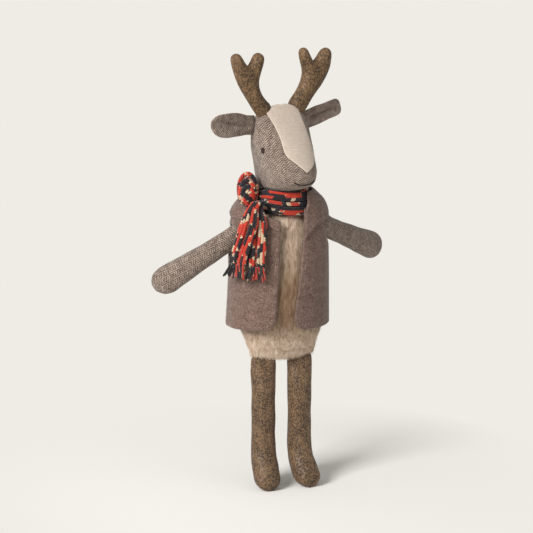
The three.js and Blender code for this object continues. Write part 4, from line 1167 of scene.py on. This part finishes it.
def surface_samples(piece, density, keep):
    """Random places on a piece with their normals, in metres, where keep(centres) is above 0; density is per mm2"""
    mesh = piece.data
    mesh.calc_loop_triangles()
    index = triples(mesh.loop_triangles, "vertices", np.int32)
    co, normal = triples(mesh.vertices, "co"), triples(mesh.vertices, "normal")
    a, b, c = (co[index[:, i]] for i in range(3))
    area = np.linalg.norm(np.cross(b - a, c - a), axis=1) / 2 / MM**2
    weight = area * np.clip(keep((a + b + c) / 3), 0, 1)
    total = int(weight.sum() * density)
    pick = rng.choice(len(index), total, p=weight / weight.sum())
    r1, r2 = np.sqrt(rng.random(total)), rng.random(total)
    share = np.stack([1 - r1, r1 * (1 - r2), r1 * r2], 1)
    place, out = (sum(share[:, i, None] * values[index[pick, i]] for i in range(3)) for values in (co, normal))
    return place, unit(out)


def hairs(name, place, out, length, width, lie, lift, swirl, steps=3, mess=0.25):
    """Tapered strands from places on a surface: lie is the way they are brushed, lift is how far they stand off"""
    count = len(place)
    lie = np.broadcast_to(np.asarray(lie, float), place.shape)
    lie = unit(lie - out * (lie * out).sum(axis=1)[:, None])
    side = np.cross(out, lie)
    clump = 4.0 * MM
    bend = np.array([noise.noise(Vector(p) / clump) for p in place]) * swirl + rng.normal(0, mess, count)
    size = (length * rng.uniform(0.6, 1.1, count) * MM)[:, None]
    wide = (width * rng.uniform(0.7, 1.2, count) * MM)[:, None]
    rise = (lift * rng.uniform(0.5, 1.3, count))[:, None]
    points = np.empty((count, steps + 1, 2, 3))
    for i in range(steps + 1):
        t = i / steps
        at = place + out * size * rise * (t - 0.35 * t * t) + lie * size * t
        at = at + side * size * bend[:, None] * t**1.5 - out * 0.0001
        half = side * wide * (1 - 0.85 * t) / 2
        points[:, i, 0], points[:, i, 1] = at - half, at + half
    base = (np.arange(count) * (steps + 1) * 2)[:, None, None]
    faces = (base + np.arange(steps)[None, :, None] * 2 + np.array([0, 1, 3, 2])[None, None]).reshape(-1, 4)
    t = np.arange(steps)[None, :] / steps
    uvs = np.empty((count, steps, 4, 2))
    uvs[..., 0] = rng.random(count)[:, None, None]
    uvs[..., 0:2, 1], uvs[..., 2:4, 1] = t[..., None], t[..., None] + 1 / steps
    return add_piece(name, points.reshape(-1, 3), faces.tolist(), uvs)


def shown_pile(p):
    """Where the body shows: below the vest, in its open front and at the neck"""
    x, y, z = (p / MM - origin).T
    below = smoothstep(z, vest_base + 13, vest_base + 4)
    share = np.clip((z - vest_base) / vest_height, 0, 1)
    left, right = -16 + 7 * share, 3 + 13 * share
    front = (y < 0) * smoothstep(x, left - 7, left - 3) * smoothstep(x, right + 7, right + 3)
    return np.maximum(below, front * (z < scarf_level - 4))


# Pile on the body, and longer strands over the tops of the legs
down = (0, 0, -1)
place, out = surface_samples(body, 3.4, shown_pile)
pile = hairs("body_pile", place, out, 4.8, 0.42, down, 0.36, 0.5)
place, out = surface_samples(body, 9.0, lambda p: smoothstep(p[:, 2] / MM - origin[2], body_base + 8, body_base + 5))
over_legs = 5.8 - 2.8 * np.clip(np.abs(place[:, 0] / MM - origin[0]) / 26, 0, 1) ** 1.6
edge_pile = hairs("body_pile_edge", place, out * (1, 1, 0.1), over_legs, 0.42, down, 0.16, 0.6, mess=0.3)
place, out = surface_samples(body, 0.5, shown_pile)
long_pile = hairs("body_pile_long", place, out, 6.6, 0.3, down, 0.42, 0.7, mess=0.35)
for piece in (pile, edge_pile, long_pile):
    finish_piece(piece, "torso", "cream_fur", material=hair_material)

depsgraph = bpy.context.evaluated_depsgraph_get()
trees = {name: BVHTree.FromObject(piece, depsgraph) for name, piece in vest_pieces.items()}
stitch_length, stitch_gap, outside = 1.7, 1.5, 60


def stitch_row(parts, name, path, way):
    """Running stitches along a path, which is cast onto a piece of the vest"""
    path, at = resample(np.asarray(path, float), 0.45)
    group = []
    for place, run in zip(path, at):
        if run % (stitch_length + stitch_gap) < stitch_length:
            start = FIGURE @ Vector(place - np.array(way) * outside)
            hit, normal, _, _ = trees[name].ray_cast(start * MM, Vector(way), 0.3)
            if hit is not None:
                group.append((np.array(hit) / MM - origin, np.array(normal)))
                continue
        if len(group) > 3:
            middle = (len(group) - 1) / 2
            line = [p + n * (0.1 - 0.42 * abs((i - middle) / middle) ** 3) for i, (p, n) in enumerate(group)]
            parts.add(*tube_parts(line, 0.2, uv=(run, 0)))
        group = []


# Stitches along the fronts, the lapels and the armholes
stitches = Parts()
inset, ring_out = 3.7, 3
for side, side_name in SIDES.items():
    front_name = f"vest_front_{side_name}"
    low, round_level = openings[side][1], vest_base + hem_corner
    path = [(side * (edge_reach(side, z) + inset), 0, z) for z in np.linspace(scarf_bottom - 16, round_level, 60)]
    reach = hem_corner - inset
    for turn in np.linspace(0, math.pi / 2, 20)[1:]:
        path.append((side * (low + hem_corner - reach * math.cos(turn)), 0, round_level - reach * math.sin(turn)))
    path += [(side * x, 0, vest_base + inset) for x in np.linspace(low + hem_corner + 1, 39, 30)]
    stitch_row(stitches, front_name, path, (0, 1, 0))
    lapel = [(side * reach, 0, scarf_bottom - drop + 3.4) for reach, drop in lapels[side]]
    stitch_row(stitches, "vest_collar", lapel, (0, 1, 0))
    for name, turns in ((front_name, np.linspace(1.1, 1.93, 50)), ("vest_back", np.linspace(-0.42, 0.42, 50))):
        ring = [(side * outside, (armhole_depth / 2 + ring_out) * math.cos(t * math.pi),
                 armhole_level(side) + (armhole_height / 2 + ring_out) * math.sin(t * math.pi)) for t in turns]
        stitch_row(stitches, name, ring, (-side, 0, 0))
finish_piece(stitches.link("vest_stitching"), "torso", "grey_felt", material=pale_thread)

for name, piece in vest_pieces.items():
    place, out = surface_samples(piece, 0.9, lambda p: np.ones(len(p)))
    turn = rng.uniform(0, TAU, len(place))
    lie = np.stack([np.cos(turn), np.sin(turn) * 0.4, np.sin(turn)], 1)
    fuzz = hairs(f"{name}_fuzz", place, out, 2.0, 0.13, lie, 0.45, 1.2, steps=2, mess=0.6)
    finish_piece(fuzz, "torso", "grey_felt")

# Camera, at the photograph's angle; the shift is in shares of the image's width
azimuth, elevation, distance = radians(-17), radians(12), 1.8
away = Vector((math.sin(azimuth) * math.cos(elevation), -math.cos(azimuth) * math.cos(elevation),
               math.sin(elevation)))
camera = bpy.data.objects.new("camera", bpy.data.cameras.new("camera"))
bpy.context.scene.collection.objects.link(camera)
camera.location = Vector((0, 0, 0.189)) + away * distance
camera.rotation_euler = (-away).to_track_quat("-Z", "Y").to_euler()
camera.data.lens, camera.data.sensor_width = 144.3, 36
camera.data.shift_x = -12 / 533
bpy.context.scene.camera = camera

# Floor, which keeps the shadow near the object and is plain further off
corners = np.array([(-3000, -3000, 0), (3000, -3000, 0), (3000, 3000, 0), (-3000, 3000, 0)], float)
floor = add_piece("floor", corners * MM, [(0, 1, 2, 3)], np.zeros((4, 2)))
backdrop = srgb(239, 236, 229)
ground = Material("floor", 0.95, specular=0.0)
ground.colour((238, 236, 231))
ground.relief(ground.clouds(30, 3.0), 0.2)
reach = ground.add("ShaderNodeVectorMath", 1, {0: ground.place(1000, 1000, 1000)}, operation="LENGTH")
glow = ground.add("ShaderNodeEmission", 0, {"Color": backdrop, "Strength": 1.0})
ground.show_plain("Material Output", Value(ground, ground.shader.outputs[0]), glow,
                  ground.ramp(reach, (0.06, 0.0), (0.26, 1.0)))
floor.data.materials.append(ground.block)


def lamp(name, place, size, power):
    light = bpy.data.lights.new(name, "AREA")
    light.size, light.energy = size, power
    piece = bpy.data.objects.new(name, light)
    piece.location = place
    piece.rotation_euler = (Vector((0, 0, 0.2)) - Vector(place)).to_track_quat("-Z", "Y").to_euler()
    bpy.context.scene.collection.objects.link(piece)


lamp("key", (-1.5, -0.95, 1.25), 0.8, 50)
lamp("fill", (1.2, -1.4, 0.6), 1.4, 4)
bpy.context.scene.world = bpy.data.worlds.new("world")
sky = Nodes(bpy.context.scene.world)
soft = sky.tree.nodes["Background"]
soft.inputs["Color"].default_value, soft.inputs["Strength"].default_value = (1, 0.985, 0.96, 1), 0.42
sky.show_plain("World Output", Value(sky, soft.outputs[0]), sky.add("ShaderNodeBackground", 0, {"Color": backdrop}))
bpy.context.scene.view_settings.view_transform = "Standard"
